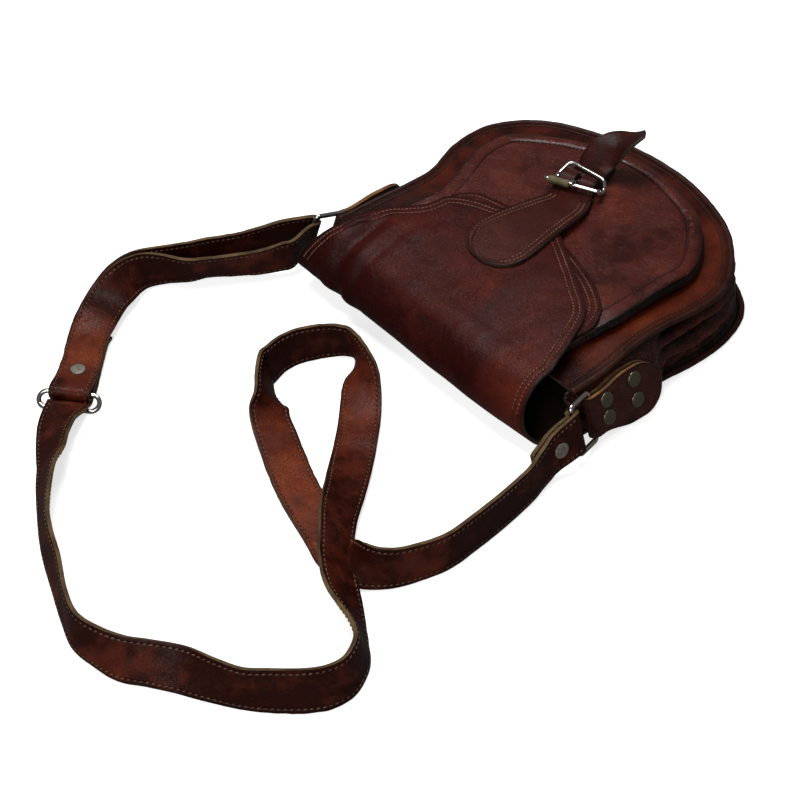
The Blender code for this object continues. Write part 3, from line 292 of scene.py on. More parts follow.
def plan_normals(points: Line) -> list[Plan]:
    """Unit normals in plan, to the left of travel."""
    result = []
    last = len(points) - 1
    for index in range(len(points)):
        a, b = points[max(index - 1, 0)], points[min(index + 1, last)]
        x, y = b[0] - a[0], b[1] - a[1]
        length = max(hypot(x, y), 1e-9)
        result.append((-y / length, x / length))
    return result


def travel_at(points: Path, index: int) -> Vector:
    """Direction of a line of places at one of them."""
    return (points[min(index + 1, len(points) - 1)] - points[max(index - 1, 0)]).normalized()


def inset_line(points: Line, inset: float) -> list[Plan]:
    """Open line moved to the left of its travel."""
    normals = plan_normals(points)
    return [(p[0] + n[0] * inset, p[1] + n[1] * inset) for p, n in zip(points, normals)]


def gaps_to_line(places: np.ndarray, line: np.ndarray) -> np.ndarray:
    """Shortest distance of each place to an open line.

    Args:
        places: Points, one to a row.
        line: The line's points, one to a row.

    Returns:
        One distance to a point.
    """
    best = np.full(len(places), 9.0)
    for a, b in zip(line[:-1], line[1:]):
        run = b - a
        share = np.clip((places - a) @ run / max(float(run @ run), 1e-12), 0, 1)
        gap = np.linalg.norm(places - (a + share[:, None] * run), axis=1)
        best = np.minimum(best, gap)
    return best


@dataclass(frozen=True)
class Form:
    """Sizes and height rules that the layers of the bag share."""

    origin_from_fold: float = 0.125
    length: float = 0.238
    half_width: float = 0.119
    back_margin: float = 0.0030
    front_top: float = 0.0300
    gusset_top: float = 0.0270
    top_depth: float = 0.0380
    lower_depth: float = 0.0437
    depth_rise: float = 0.070
    leather: float = 0.0022
    gap: float = 0.0003
    seam_inset: float = 0.0005
    front_crown: float = 0.0010
    pocket_half_width: float = 0.0975
    pocket_length: float = 0.219
    pocket_top: float = 0.0380
    pocket_mouth: float = 0.0055
    pocket_depth: float = 0.0087
    pocket_leather: float = 0.0020
    pocket_crown: float = 0.0025
    pocket_crown_length: float = 0.181
    pocket_rise: float = 0.055
    fold_hinge: Plan = (0.0170, 0.0011)
    flap_hinge: Plan = (0.0240, 0.0495)
    flap_rise: float = 0.0109
    flap_rise_length: float = 0.080
    flap_length: float = 0.118
    flap_half_width: float = 0.117

    def point(self, x: float, down: float, height: float) -> Vector:
        """Place in the frame of a point measured from the fold."""
        return Vector((x, down - self.origin_from_fold, height))

    def down(self, place: Vector) -> float:
        """Distance of a place from the fold."""
        return place.y + self.origin_from_fold

    def crown(self, x: float, down: float) -> float:
        """Rise of the pocket's middle, that the layers over it share."""
        side = min(abs(x) / self.pocket_half_width, 1.0)
        along = min(max((down - self.pocket_top) / self.pocket_crown_length, 0.0), 1.0)
        return self.pocket_crown * (1 - side * side) ** 2 * sin(pi * along)

    def front_under(self, x: float, down: float) -> float:
        """Inner face of the front panel."""
        rise = ease((down - self.front_top) / self.depth_rise)
        side = min(abs(x) / self.half_width, 1.0)
        swell = self.front_crown * (1 - side * side) * rise
        return self.top_depth + (self.lower_depth - self.top_depth) * rise + swell

    def front_over(self, x: float, down: float) -> float:
        """Outer face of the front panel."""
        return self.front_under(x, down) + self.leather

    def pocket_under(self, x: float, down: float) -> float:
        """Inner face of the pocket panel."""
        rise = ease((down - self.pocket_top) / self.pocket_rise)
        depth = self.pocket_mouth + (self.pocket_depth - self.pocket_mouth) * rise
        return self.front_over(self.half_width, down) + self.gap + depth + self.crown(x, down)

    def pocket_over(self, x: float, down: float) -> float:
        """Outer face of the pocket panel."""
        return self.pocket_under(x, down) + self.pocket_leather

    def flap_under(self, x: float, down: float) -> float:
        """Inner face of the flap."""
        start, height = self.flap_hinge
        share = min(max((down - start) / self.flap_rise_length, 0.0), 1.0)
        middle = height + self.flap_rise * sin(pi * share / 2)
        return middle - self.leather / 2 + self.crown(x, down)

    def seam_line(
        self,
        shares: Line,
        length: float,
        half_width: float,
        top: float,
        count: int,
        outward: float = 0.0,
    ) -> Points:
        """Seam from the top right down round the bottom and up to the top left.

        Args:
            shares: Rows of how far down, half width and middle, as shares.
            length: Length that the first share is of.
            half_width: Half width that the other shares are of.
            top: How far down the seam starts and ends.
            count: Number of points.
            outward: How far the seam is moved out.

        Returns:
            Points of the seam as x and distance down.
        """
        right = [((half + middle) * half_width, share * length) for share, half, middle in shares]
        left = [((middle - half) * half_width, share * length) for share, half, middle in shares]
        curve = inset_line(smooth_points(right + left[::-1], 8), -outward)
        inside = [index for index, p in enumerate(curve) if p[1] >= top]
        start = cut_at(curve[inside[0] - 1], curve[inside[0]], top)
        end = cut_at(curve[inside[-1]], curve[inside[-1] + 1], top)
        return resample([start] + [curve[index] for index in inside] + [end], count)


def cut_at(a: Sequence[float], b: Sequence[float], top: float) -> Plan:
    """Where the line from a to b meets a distance down."""
    share = (top - a[1]) / (b[1] - a[1])
    return (a[0] + (b[0] - a[0]) * share, top)


def closed_outline(seam: Line, across: int) -> list[Plan]:
    """Seam line with its straight top edge closed by points between its ends."""
    start, end = seam[-1], seam[0]
    top = []
    for step in range(1, across):
        share = step / across
        top.append((start[0] + (end[0] - start[0]) * share, start[1] + (end[1] - start[1]) * share))
    return [(p[0], p[1]) for p in seam] + top


FORM = Form()

BODY_SHARES = (
    (0.02, 0.966, 0.025), (0.13, 0.962, 0.03), (0.25, 0.953, 0.038), (0.365, 0.924, 0.042), (0.47, 0.928, 0.03),
    (0.59, 0.987, -0.012), (0.695, 0.996, -0.038), (0.78, 0.94, -0.067), (0.865, 0.807, -0.09),
    (0.925, 0.64, -0.09), (0.975, 0.38, -0.08), (0.998, 0.13, -0.07),
)
POCKET_SHARES = (
    (0.15, 0.895, 0.04), (0.3, 0.9, 0.08), (0.4, 0.89, 0.12), (0.5, 0.925, 0.08), (0.62, 0.985, 0.015),
    (0.71, 1, 0), (0.79, 0.94, -0.03), (0.87, 0.77, -0.01), (0.935, 0.56, 0.01), (0.985, 0.26, -0.03),
    (0.999, 0.08, -0.05),
)
FLAP_EDGE_SHARES = (
    (0.905, 0.217), (0.873, 0.3), (0.84, 0.39), (0.8, 0.49), (0.776, 0.545), (0.742, 0.6), (0.684, 0.652),
    (0.581, 0.712), (0.453, 0.788), (0.256, 0.898), (0.12, 0.97), (0.01, 1), (-0.1, 0.955), (-0.23, 0.86),
    (-0.368, 0.814), (-0.465, 0.765), (-0.53, 0.705), (-0.547, 0.63), (-0.58, 0.56), (-0.692, 0.441),
    (-0.735, 0.35), (-0.76, 0.26), (-0.786, 0.217),
)
UNDERLAY_EDGE_SHARES = (
    (0.81, 0.485), (0.822, 0.56), (0.81, 0.62), (0.744, 0.72), (0.607, 0.805), (0.47, 0.856), (0.316, 0.898),
    (0.12, 0.925), (-0.08, 0.93), (-0.265, 0.918), (-0.444, 0.881), (-0.53, 0.79), (-0.545, 0.7), (-0.575, 0.6),
    (-0.66, 0.485),
)
SWELL_SHARES = (0.25, 0.25, 0, -0.3, -0.22, 0.05, 0.18, 0.05, -0.15, -0.3, -0.44, -0.4, -0.15, 0.2, 0.25)
FOLD_PROFILE = (
    (0.017, 0.0011, -0.11, 0.1155), (0.011, 0.006, -0.112, 0.115), (0.0075, 0.012, -0.113, 0.114),
    (0.0052, 0.02, -0.112, 0.1122), (0.005, 0.029, -0.108, 0.1105), (0.0072, 0.037, -0.103, 0.1085),
    (0.012, 0.044, -0.098, 0.1068), (0.018, 0.0478, -0.094, 0.1063), (0.024, 0.0495, -0.0912, 0.106),
)
FOLD_SWELL = (0.0082, 0.0074, 0.0084, 0.0092, 0.0094, 0.0100, 0.0102, 0.0092, 0.0064)
BILLET_ROUTE = (
    (0, 0.0565, 0.06, 0.005, 0, 0), (0, 0.058, 0.0602, 0.0105, 0, 0), (0, 0.061, 0.0606, 0.0165, 0, 0),
    (0, 0.066, 0.0612, 0.0215, 0, 0), (0, 0.074, 0.0623, 0.0247, 0, 0), (0, 0.083, 0.0635, 0.0248, 0, 0),
    (0, 0.095, 0.0642, 0.0232, 0, 0), (0, 0.108, 0.0647, 0.0208, 0, 0), (0, 0.1205, 0.0655, 0.0187, 0, 0),
    (-0.0005, 0.129, 0.065, 0.0174, 5, 0), (-0.0022, 0.1365, 0.0638, 0.0163, 14, 0),
    (-0.0052, 0.143, 0.0627, 0.0153, 22, 0), (-0.0084, 0.1483, 0.062, 0.0146, 25, 0),
    (-0.0107, 0.1519, 0.0622, 0.0142, 24, 0), (-0.0119, 0.1541, 0.0634, 0.0139, 22, 0),
    (-0.0129, 0.1566, 0.0655, 0.0136, 19, 0), (-0.0137, 0.159, 0.0675, 0.0133, 16, 0),
    (-0.0143, 0.1612, 0.0681, 0.013, 14, 0), (-0.0148, 0.1634, 0.068, 0.0127, 12, 0),
    (-0.0153, 0.1657, 0.0673, 0.0124, 10, 0), (-0.0158, 0.1681, 0.0656, 0.0121, 8, 0),
    (-0.0163, 0.1709, 0.0637, 0.0119, 5, 0), (-0.0168, 0.174, 0.0637, 0.0119, 2, -2),
    (-0.0171, 0.1768, 0.0655, 0.0119, -4, -10), (-0.0173, 0.18, 0.0694, 0.012, -9, -26),
    (-0.0165, 0.1845, 0.0742, 0.012, -13, -36), (-0.014, 0.19, 0.079, 0.012, -19, -26),
    (-0.0104, 0.1948, 0.0826, 0.0118, -26, -6), (-0.0064, 0.199, 0.0854, 0.0112, -32, 10),
    (-0.0025, 0.2035, 0.0884, 0.0098, -36, 22), (0.0003, 0.207, 0.0912, 0.0072, -38, 26),
)
BUCKLE_CORNERS = (
    (-0.03, 0.143), (0.007, 0.16), (-0.0012, 0.1722), (-0.0315, 0.17),
)
TAB_RIVETS = (
    (0.05, 0.007), (0.0745, 0.0098), (0.0495, -0.0052), (0.0745, -0.0048),
)
STRAP_ROUTE = (
    (0.14, -0.006, 99, 0.005), (0.1425, -0.016, 97, 0.0028), (0.146, -0.028, 95, 0.0012), (0.15, -0.052, 95, 0),
    (0.153, -0.075, 95, 0), (0.155, -0.1, 95, 0), (0.151, -0.119, 97, 0), (0.145, -0.134, 102, 0),
    (0.135, -0.144, 115, 0), (0.123, -0.1475, 140, 0), (0.108, -0.1465, 166, 0), (0.09, -0.141, 178, 0),
    (0.0588, -0.1333, 181, 0), (0.0343, -0.1254, 183, 0), (0.0042, -0.1132, 189, 0), (-0.0117, -0.1066, 202, 0),
    (-0.0196, -0.1009, 230, 0), (-0.0317, -0.0946, 247, 0), (-0.0436, -0.0853, 256, 0),
    (-0.0442, -0.0823, 257, 0), (-0.0478, -0.0702, 261, 0), (-0.0476, -0.0571, 264, 0),
    (-0.0427, -0.0441, 267, 0), (-0.0364, -0.0335, 272, 0), (-0.0283, -0.0272, 279, 0),
    (-0.0206, -0.0289, 273, 0), (-0.0109, -0.0343, 253, 0), (-0.0015, -0.0402, 222, 0),
    (0.0078, -0.0478, 200, 0), (0.0241, -0.0622, 184, 0), (0.0429, -0.0812, 181, 0.0004),
    (0.071, -0.1106, 152, 0.0018), (0.0883, -0.1296, 141, 0.0032), (0.1059, -0.1453, 135, 0.0036),
    (0.1221, -0.1573, 139, 0.0036), (0.1391, -0.1667, 138, 0.003), (0.1554, -0.1739, 124, 0.0016),
    (0.1691, -0.1794, 111, 0.0004), (0.1807, -0.1858, 105, 0), (0.1879, -0.1951, 104, 0),
    (0.1917, -0.2059, 106, 0), (0.1895, -0.2187, 110, 0), (0.1821, -0.2307, 110, 0), (0.1719, -0.2427, 109, 0),
    (0.1605, -0.2541, 104, 0), (0.1441, -0.2634, 113, 0), (0.1269, -0.2715, 126, 0), (0.1132, -0.282, 122, 0),
    (0.1016, -0.2915, 118, 0), (0.0869, -0.2978, 106, 0), (0.0683, -0.3012, 100, 0), (0.0477, -0.2957, 99, 0),
    (0.023, -0.2857, 104, 0), (0.0024, -0.2781, 104, 0), (-0.0174, -0.2686, 106, 0), (-0.0481, -0.2486, 118, 0),
    (-0.0626, -0.236, 132, 0), (-0.0764, -0.2265, 142, 0), (-0.0907, -0.2145, 158, 0.0022),
    (-0.103, -0.2001, 180, 0.0036), (-0.1066, -0.1961, 180, 0.0009), (-0.1105, -0.1918, 180, 0),
    (-0.119, -0.1825, 180, 0), (-0.132, -0.171, 180, 0), (-0.151, -0.155, 180, 0), (-0.169, -0.137, 182, 0),
    (-0.182, -0.117, 192, 0), (-0.1843, -0.1005, 226, 0), (-0.1808, -0.0832, 260, 0),
    (-0.1727, -0.0633, 268, 0), (-0.165, -0.044, 268, 0), (-0.157, -0.025, 270, 0),
    (-0.1485, -0.005, 280, 0.0045),
)
RETURN_ROUTE = (
    (-0.1261, -0.0054, 82, 0.003), (-0.1336, -0.0208, 74, 0.001), (-0.1439, -0.0363, 69, 0),
    (-0.1532, -0.0508, 66, 0), (-0.1597, -0.0651, 71, 0), (-0.1696, -0.0758, 82, 0),
    (-0.1752, -0.0873, 95, 0.0014), (-0.1752, -0.1006, 116, 0.004), (-0.1727, -0.1125, 136, 0.005),
    (-0.1695, -0.1243, 158, 0.0055), (-0.1591, -0.1395, 164, 0.006), (-0.1488, -0.154, 180, 0.0062),
    (-0.1302, -0.1713, 180, 0.0062), (-0.1215, -0.1806, 180, 0.0062),
)


# ---- finishes


class Sketch:
    """Node tree of one finish, or of the world, built node by node."""

    def __init__(self, name: str, world: bpy.types.World | None = None) -> None:
        """Start with only a shader and its output."""
        self.material = world or bpy.data.materials.new(name)
        self.material.use_nodes = True
        self.tree = self.material.node_tree
        self.shader = self.tree.nodes["Background" if world else "Principled BSDF"]

    def add(self, kind: str, inputs: dict[str, object] | None = None, **settings: object) -> bpy.types.Node:
        """New node with its settings and inputs.

        Args:
            kind: Node type without its ShaderNode prefix.
            inputs: Value or socket of each input.
            settings: Node properties.

        Returns:
            The node.
        """
        node = self.tree.nodes.new("ShaderNode" + kind)
        for key, value in settings.items():
            setattr(node, key, value)
        for key, value in (inputs or {}).items():
            self.feed(node.inputs[key], value)
        return node

    def feed(self, socket: Socket, value: object) -> None:
        """Link a source socket to an input, or set the input's own value."""
        if isinstance(value, Socket):
            self.tree.links.new(value, socket)
        else:
            socket.default_value = value

    def maths(self, operation: str, *values: object) -> Socket:
        """Result of a Math node on values or sockets."""
        node = self.add("Math", operation=operation)
        for socket, value in zip(node.inputs, values):
            self.feed(socket, value)
        return node.outputs[0]

    def times(self, first: object, second: object) -> Socket:
        """Product of two values or sockets."""
        return self.maths("MULTIPLY", first, second)

    def plus(self, first: object, second: object) -> Socket:
        """Sum of two values or sockets."""
        return self.maths("ADD", first, second)

    def paint(self, colour: object, rough: object, height: object = None) -> Material:
        """Colour, roughness and relief of the shader, and its material."""
        self.feed(self.shader.inputs["Base Color"], colour)
        self.feed(self.shader.inputs["Roughness"], rough)
        if height is not None:
            bump = self.add("Bump", inputs={"Height": height, "Distance": 1.0, "Strength": 1.0})
            self.feed(self.shader.inputs["Normal"], bump.outputs[0])
        return self.material

    def fade(self, value: object, low: float, high: float, start: float = 0.0,
             end: float = 1.0) -> Socket:
        """Smooth change from start to end as a value goes from low to high."""
        node = self.add("MapRange", interpolation_type="SMOOTHSTEP")
        ends = {"Value": value, "From Min": low, "From Max": high, "To Min": start, "To Max": end}
        for name, number in ends.items():
            self.feed(node.inputs[name], number)
        return node.outputs["Result"]

    def blend(self, share: object, first: object, second: object) -> Socket:
        """Mix of two colours or colour sockets."""
        node = self.add("Mix", data_type="RGBA")
        self.feed(node.inputs[0], share)
        for socket, value in ((node.inputs[6], first), (node.inputs[7], second)):
            self.feed(socket, (*value, 1.0) if isinstance(value, tuple) else value)
        return node.outputs[2]

    def noise(self, scale: float, detail: float = 4.0, rough: float = 0.55, twist: float = 0.0,
              coords: object = None, kind: str = "FBM") -> Socket:
        """Noise value over the piece's own coordinates."""
        node = self.add("TexNoise", noise_dimensions="3D", noise_type=kind)
        coords = self.place() if coords is None else coords
        sizes = {"Vector": coords, "Scale": scale, "Detail": detail, "Roughness": rough,
                 "Distortion": twist}
        for name, number in sizes.items():
            self.feed(node.inputs[name], number)
        return node.outputs[0]

    def cracks(self, scale: float, width: float) -> Socket:
        """Network of fine creases, bent out of its even cells."""
        swirl = self.add("TexNoise", inputs={"Vector": self.place(), "Scale": scale * 0.55, "Detail": 3.0})
        sums = {0: swirl.outputs["Color"], 1: (1.6 / scale,) * 3, 2: self.place()}
        bent = self.add("VectorMath", operation="MULTIPLY_ADD", inputs=sums)
        return self.fade(self.cells(scale, bent.outputs[0]), 0.0, width, 1.0, 0.0)

    def cells(self, scale: float, coords: Socket) -> Socket:
        """Distance to the edge of even cells."""
        settings = {"Vector": coords, "Scale": scale}
        return self.add("TexVoronoi", feature="DISTANCE_TO_EDGE", inputs=settings).outputs["Distance"]

    def place(self) -> Socket:
        """Object coordinates of the piece."""
        found = self.tree.nodes.get("place")
        if found is None:
            found = self.add("TexCoord", name="place")
        return found.outputs["Object"]

    def attribute(self, name: str) -> Socket:
        """Value that the mesh carries at each point."""
        return self.add("Attribute", attribute_name=name).outputs["Fac"]


@dataclass(frozen=True)
class Hide:
    """Dyed grain side of a leather, with its mottling, creases and handled edges, and painted shade in its creases and
    stitch grooves.
    """

    name: str
    dark: Colour
    base: Colour
    warm: Colour
    rough_low: float = 0.34
    rough_high: float = 0.56
    cloud: float = 24.0
    patch: float = 85.0
    crease: float = 60.0
    crease_depth: float = 0.00035
    grain_depth: float = 0.00004
    margin: float = 0.0035
    seams: tuple[float, ...] = ()
    shine: float = 0.13

    def build(self) -> Material:
        """Material of the grain side."""
        s = Sketch(self.name)
        cloud = s.noise(self.cloud, 3.0, 0.5, 0.6)
        patch = s.noise(self.patch, 6.0, 0.62, 0.3)
        speck = s.noise(520.0, 3.0, 0.6)
        tone = s.plus(s.times(cloud, 0.58), s.times(patch, 0.42))
        # The mesh's tint is random tone, and on some pieces painted light and shade.
        tone = s.plus(tone, s.times(s.maths("SUBTRACT", s.attribute("tint"), 0.5), 0.55))
        colour = s.blend(s.fade(tone, 0.33, 0.52), self.dark, self.base)
        colour = s.blend(s.fade(tone, 0.50, 0.74), colour, self.warm)
        ridges = s.noise(self.crease, 7.0, 0.6, 0.9, kind="RIDGED_MULTIFRACTAL")
        worn = s.fade(cloud, 0.40, 0.62, 0.25, 1.0)
        fine = s.noise(self.crease * 3.2, 5.0, 0.6, 1.4, kind="RIDGED_MULTIFRACTAL")
        cracks = s.maths("MAXIMUM", s.times(s.cracks(420.0, 0.08), 0.35), s.fade(fine, 0.80, 1.30, 0.0, 0.8))
        lines = s.maths("MAXIMUM", s.fade(ridges, 0.72, 1.20), s.times(cracks, worn))
        # Dark colour of the random specks, and of the painted shade in the creases and stitch grooves.
        speck_and_shade = tuple(c * 0.42 for c in self.dark)
        # Painted shade: the colour darkens along the creases and cracks.
        colour = s.blend(s.times(lines, 0.34), colour, speck_and_shade)
        colour = s.blend(s.fade(speck, 0.60, 0.78, 0.0, 0.30), colour, speck_and_shade)
        border = s.attribute("border")
        rim = tuple(c * 0.55 for c in self.dark)
        colour = s.blend(s.fade(border, 0.0, self.margin, 0.75, 0.0), colour, rim)
        grain = s.times(s.fade(s.cells(620.0, s.place()), 0.0, 0.22), self.grain_depth)
        height = s.plus(s.times(lines, -self.crease_depth), grain)
        height = s.plus(height, s.times(patch, self.crease_depth * 1.6))
        for seam in self.seams:
            away = s.maths("ABSOLUTE", s.maths("SUBTRACT", border, seam))
            groove = s.fade(away, 0.0, 0.0009, 1.0, 0.0)
            height = s.maths("SUBTRACT", height, s.times(groove, 0.00042))
            # Painted shade: the colour darkens in each stitch groove.
            colour = s.blend(s.times(groove, 0.35), colour, speck_and_shade)
        s.shader.inputs["Specular IOR Level"].default_value = self.shine
        gloss = s.plus(s.times(patch, 0.6), s.times(lines, 0.4))
        return s.paint(colour, s.fade(gloss, 0.2, 0.8, self.rough_low, self.rough_high), height)


@dataclass(frozen=True)
class Suede:
    """Flesh side or cut edge of a leather, dry and fibrous."""

    name: str
    dark: Colour
    light: Colour
    fibre: float = 900.0
    rough: float = 0.88
    depth: float = 0.00012

    def build(self) -> Material:
        """Material of the rough side or the raw edge."""
        s = Sketch(self.name)
        wide = s.noise(70.0, 5.0, 0.6)
        fine = s.noise(self.fibre, 4.0, 0.7)
        tone = s.plus(s.times(wide, 0.6), s.times(fine, 0.4))
        colour = s.blend(s.fade(tone, 0.36, 0.66), self.dark, self.light)
        s.shader.inputs["Specular IOR Level"].default_value = 0.25
        rough = s.fade(fine, 0.2, 0.8, self.rough - 0.1, self.rough)
        return s.paint(colour, rough, s.times(fine, self.depth))


@dataclass(frozen=True)
class Metal:
    """Plated or aged metal with fine scratches and dull patches."""

    name: str
    bright: Colour
    dull: Colour
    rough_low: float
    rough_high: float
    metallic: float = 1.0
    wear: Plan = (0.45, 0.7)
    scratch_depth: float = 0.00002

    def build(self) -> Material:
        """Material of the metal."""
        s = Sketch(self.name)
        patch = s.noise(260.0, 6.0, 0.65)
        stretch = s.add("Mapping", inputs={"Vector": s.place(), "Scale": (1.0, 1.0, 9.0)})
        scratch = s.noise(700.0, 3.0, 0.6, coords=stretch.outputs[0])
        s.shader.inputs["Metallic"].default_value = self.metallic
        colour = s.blend(s.fade(patch, *self.wear), self.bright, self.dull)
        rough = s.fade(patch, 0.3, 0.7, self.rough_low, self.rough_high)
        return s.paint(colour, rough, s.times(scratch, self.scratch_depth))


@dataclass(frozen=True)
class Thread:
    """Waxed sewing thread with two twisted plies."""

    name: str
    light: Colour
    dark: Colour

    def build(self) -> Material:
        """Material of the thread."""
        s = Sketch(self.name)
        soil = s.noise(90.0, 4.0, 0.6)
        ply = s.noise(2200.0, 2.0, 0.5)
        colour = s.blend(s.fade(soil, 0.38, 0.62), self.dark, self.light)
        colour = s.blend(s.fade(ply, 0.45, 0.7, 0.0, 0.4), colour, tuple(c * 0.4 for c in self.dark))
        return s.paint(colour, s.fade(ply, 0.3, 0.7, 0.55, 0.75))


class Finish(Enum):
    """Every finish of the bag."""

    FLAP = Hide("flap_leather", (0.021, 0.0022, 0.0015), (0.043, 0.0050, 0.0033), (0.082, 0.0118, 0.0052),
                seams=(0.0036, 0.0075), crease_depth=0.00045, grain_depth=0.00006, shine=0.10)
    BILLET = Hide("billet_leather", (0.021, 0.0034, 0.0023), (0.040, 0.0068, 0.0046), (0.068, 0.0134, 0.0074),
                  seams=(0.0030, 0.0062))
    POCKET = Hide("pocket_leather", (0.026, 0.0030, 0.0017), (0.062, 0.0088, 0.0052), (0.112, 0.0190, 0.0070),
                  seams=(0.0096,), shine=0.34, rough_low=0.24, rough_high=0.44)
    FRONT = Hide("front_leather", (0.016, 0.0018, 0.0008), (0.056, 0.0070, 0.0021), (0.112, 0.0180, 0.0034),
                 seams=(0.0042,), margin=0.0060)
    SIDE = Hide("side_leather", (0.0040, 0.0009, 0.0006), (0.040, 0.0070, 0.0042), (0.105, 0.0210, 0.0066),
                crease=48.0, crease_depth=0.0008, shine=0.34, rough_low=0.26, rough_high=0.46)
    BACK = Hide("back_leather", (0.018, 0.0032, 0.0022), (0.042, 0.0080, 0.0056), (0.072, 0.0150, 0.0080))
    PIPING = Hide("piping_leather", (0.014, 0.0046, 0.0032), (0.034, 0.0110, 0.0076), (0.066, 0.0240, 0.0130),
                  patch=160.0, margin=0.0001)
    TAB = Hide("tab_leather", (0.010, 0.0022, 0.0014), (0.032, 0.0062, 0.0036), (0.068, 0.0150, 0.0070),
               margin=0.0025, rough_low=0.24, rough_high=0.42, shine=0.34)
    STRAP = Hide("strap_leather", (0.022, 0.0030, 0.0012), (0.076, 0.0120, 0.0048), (0.160, 0.0300, 0.0080),
                 cloud=30.0, crease=100.0, crease_depth=0.0005, margin=0.0022, seams=(0.0026,))
    # Inner face of the strap: a rougher copy of the strap leather, darkened partly as painted shade for the inner
    # layer that lies in shadow.
    STRAP_BACK = Hide("strap_back", (0.020, 0.0032, 0.0015), (0.066, 0.0120, 0.0060), (0.135, 0.0290, 0.0095),
                      cloud=34.0, crease=110.0, crease_depth=0.0005, margin=0.0022, seams=(0.0026,),
                      rough_low=0.45, rough_high=0.65)
    ROUGH_SIDE = Suede("rough_side", (0.036, 0.017, 0.009), (0.088, 0.044, 0.024))
    DARK_ROUGH = Suede("dark_rough_side", (0.010, 0.0045, 0.0028), (0.028, 0.012, 0.007))
    CUT_EDGE = Suede("cut_edge", (0.034, 0.018, 0.008), (0.140, 0.084, 0.034), fibre=1400.0)
    TAB_EDGE = Suede("tab_cut_edge", (0.070, 0.032, 0.011), (0.270, 0.130, 0.045), fibre=1400.0)
    DARK_EDGE = Suede("dark_edge", (0.016, 0.011, 0.006), (0.062, 0.044, 0.026), fibre=1400.0, rough=0.7)
    NICKEL = Metal("nickel_wire", (0.74, 0.72, 0.66), (0.32, 0.29, 0.24), 0.22, 0.42, 0.85)
    BRASS = Metal("aged_brass", (0.118, 0.112, 0.070), (0.058, 0.054, 0.033), 0.45, 0.62, 0.20)
    STRAP_CAP = Metal("strap_rivet_cap", (0.165, 0.150, 0.120), (0.085, 0.076, 0.056), 0.42, 0.60, 0.20)
    SLEEVE = Suede("sleeve_hide", (0.050, 0.038, 0.018), (0.160, 0.125, 0.062), fibre=1200.0, rough=0.65)
    PALE_THREAD = Thread("pale_thread", (0.190, 0.080, 0.044), (0.095, 0.036, 0.019))
    STRAP_THREAD = Thread("strap_thread", (0.130, 0.060, 0.031), (0.058, 0.024, 0.012))
    DARK_THREAD = Thread("dark_thread", (0.026, 0.010, 0.006), (0.010, 0.004, 0.003))

    def material(self) -> Material:
        """The finish's material, built the first time that it is asked for."""
        return bpy.data.materials.get(self.value.name) or self.value.build()


Coat3 = tuple[Finish, Finish, Finish]


def lined(grain: Finish) -> Coat3:
    """Finishes of a cut whose rough side and edge are dark."""
    return (grain, Finish.DARK_ROUGH, Finish.DARK_EDGE)


# ---- from drawn surfaces to pieces


def keep(name: str, data: bpy.types.ID) -> Piece:
    """New object of a mesh, curve, lamp or camera, in the scene."""
    made = bpy.data.objects.new(name, data)
    bpy.context.scene.collection.objects.link(made)
    return made


def new_mesh(name: str, places: Path, faces: Sequence[Face], turned: bool = False) -> Mesh:
    """Mesh of places and faces.

    Args:
        name: Name of the mesh.
        places: Its points.
        faces: Its faces.
        turned: Whether the faces are turned to look out.

    Returns:
        The mesh.
    """
    mesh = bpy.data.meshes.new(name)
    mesh.from_pydata([tuple(place) for place in places], [], faces)
    if turned:
        work = bmesh.new()
        work.from_mesh(mesh)
        bmesh.ops.recalc_face_normals(work, faces=work.faces)
        work.to_mesh(mesh)
        work.free()
    return mesh


def carry(mesh: Mesh, label: str, values: Sequence[float], kind: str = "FLOAT") -> None:
    """Let a mesh carry values at its points."""
    attribute = mesh.attributes.new(label, kind, "POINT")
    attribute.data.foreach_set("value" if kind == "FLOAT" else "vector", values)


def freeze(piece: Piece) -> Piece:
    """Turn a piece's modifiers or curve into a plain mesh.

    Args:
        piece: Object whose evaluated mesh is kept.

    Returns:
        A mesh object of the same name.
    """
    bpy.context.view_layer.update()
    graph = bpy.context.evaluated_depsgraph_get()
    mesh = bpy.data.meshes.new_from_object(piece.evaluated_get(graph), depsgraph=graph)
    name = piece.name
    bpy.data.objects.remove(piece)
    mesh.name = name
    return keep(name, mesh)


@dataclass
class Sheet:
    """Drawn surface of one cut of hide, before it gets its thickness."""

    name: str
    places: list[Vector]
    faces: list[Face]
    out: Vector
    border: Sequence[float] = ()
    tint: Sequence[float] = ()

    def piece(self, thickness: float, coat: Coat3, face: Drawn = Drawn.MIDDLE, edge: float = 0.2) -> Piece:
        """Give the cut its thickness, its rounded edge and its three finishes.

        Args:
            thickness: Thickness of the hide.
            coat: Finishes of the outer side, the inner side and the cut edge.
            face: Which face the drawn surface is.
            edge: Edge rounding as a share of the thickness.

        Returns:
            The finished mesh object.
        """
        mesh = new_mesh(self.name, self.places, self.faces)
        mesh.update()
        if mesh.polygons[0].normal.dot(self.out) < 0:
            mesh.flip_normals()
        for label, values in (("border", self.border), ("tint", self.tint)):
            carry(mesh, label, list(values) or [0.5] * len(self.places))
        for finish in coat:
            mesh.materials.append(finish.material())
        mesh.shade_smooth()
        made = keep(self.name, mesh)
        solid = made.modifiers.new("hide", "SOLIDIFY")
        solid.thickness = thickness
        solid.offset = face.value
        solid.use_even_offset = False
        solid.material_offset = 1
        solid.material_offset_rim = 2
        bevel = made.modifiers.new("edge", "BEVEL")
        bevel.width = thickness * edge
        bevel.segments = 2
        bevel.limit_method = "ANGLE"
        bevel.angle_limit = radians(55)
        return freeze(made)


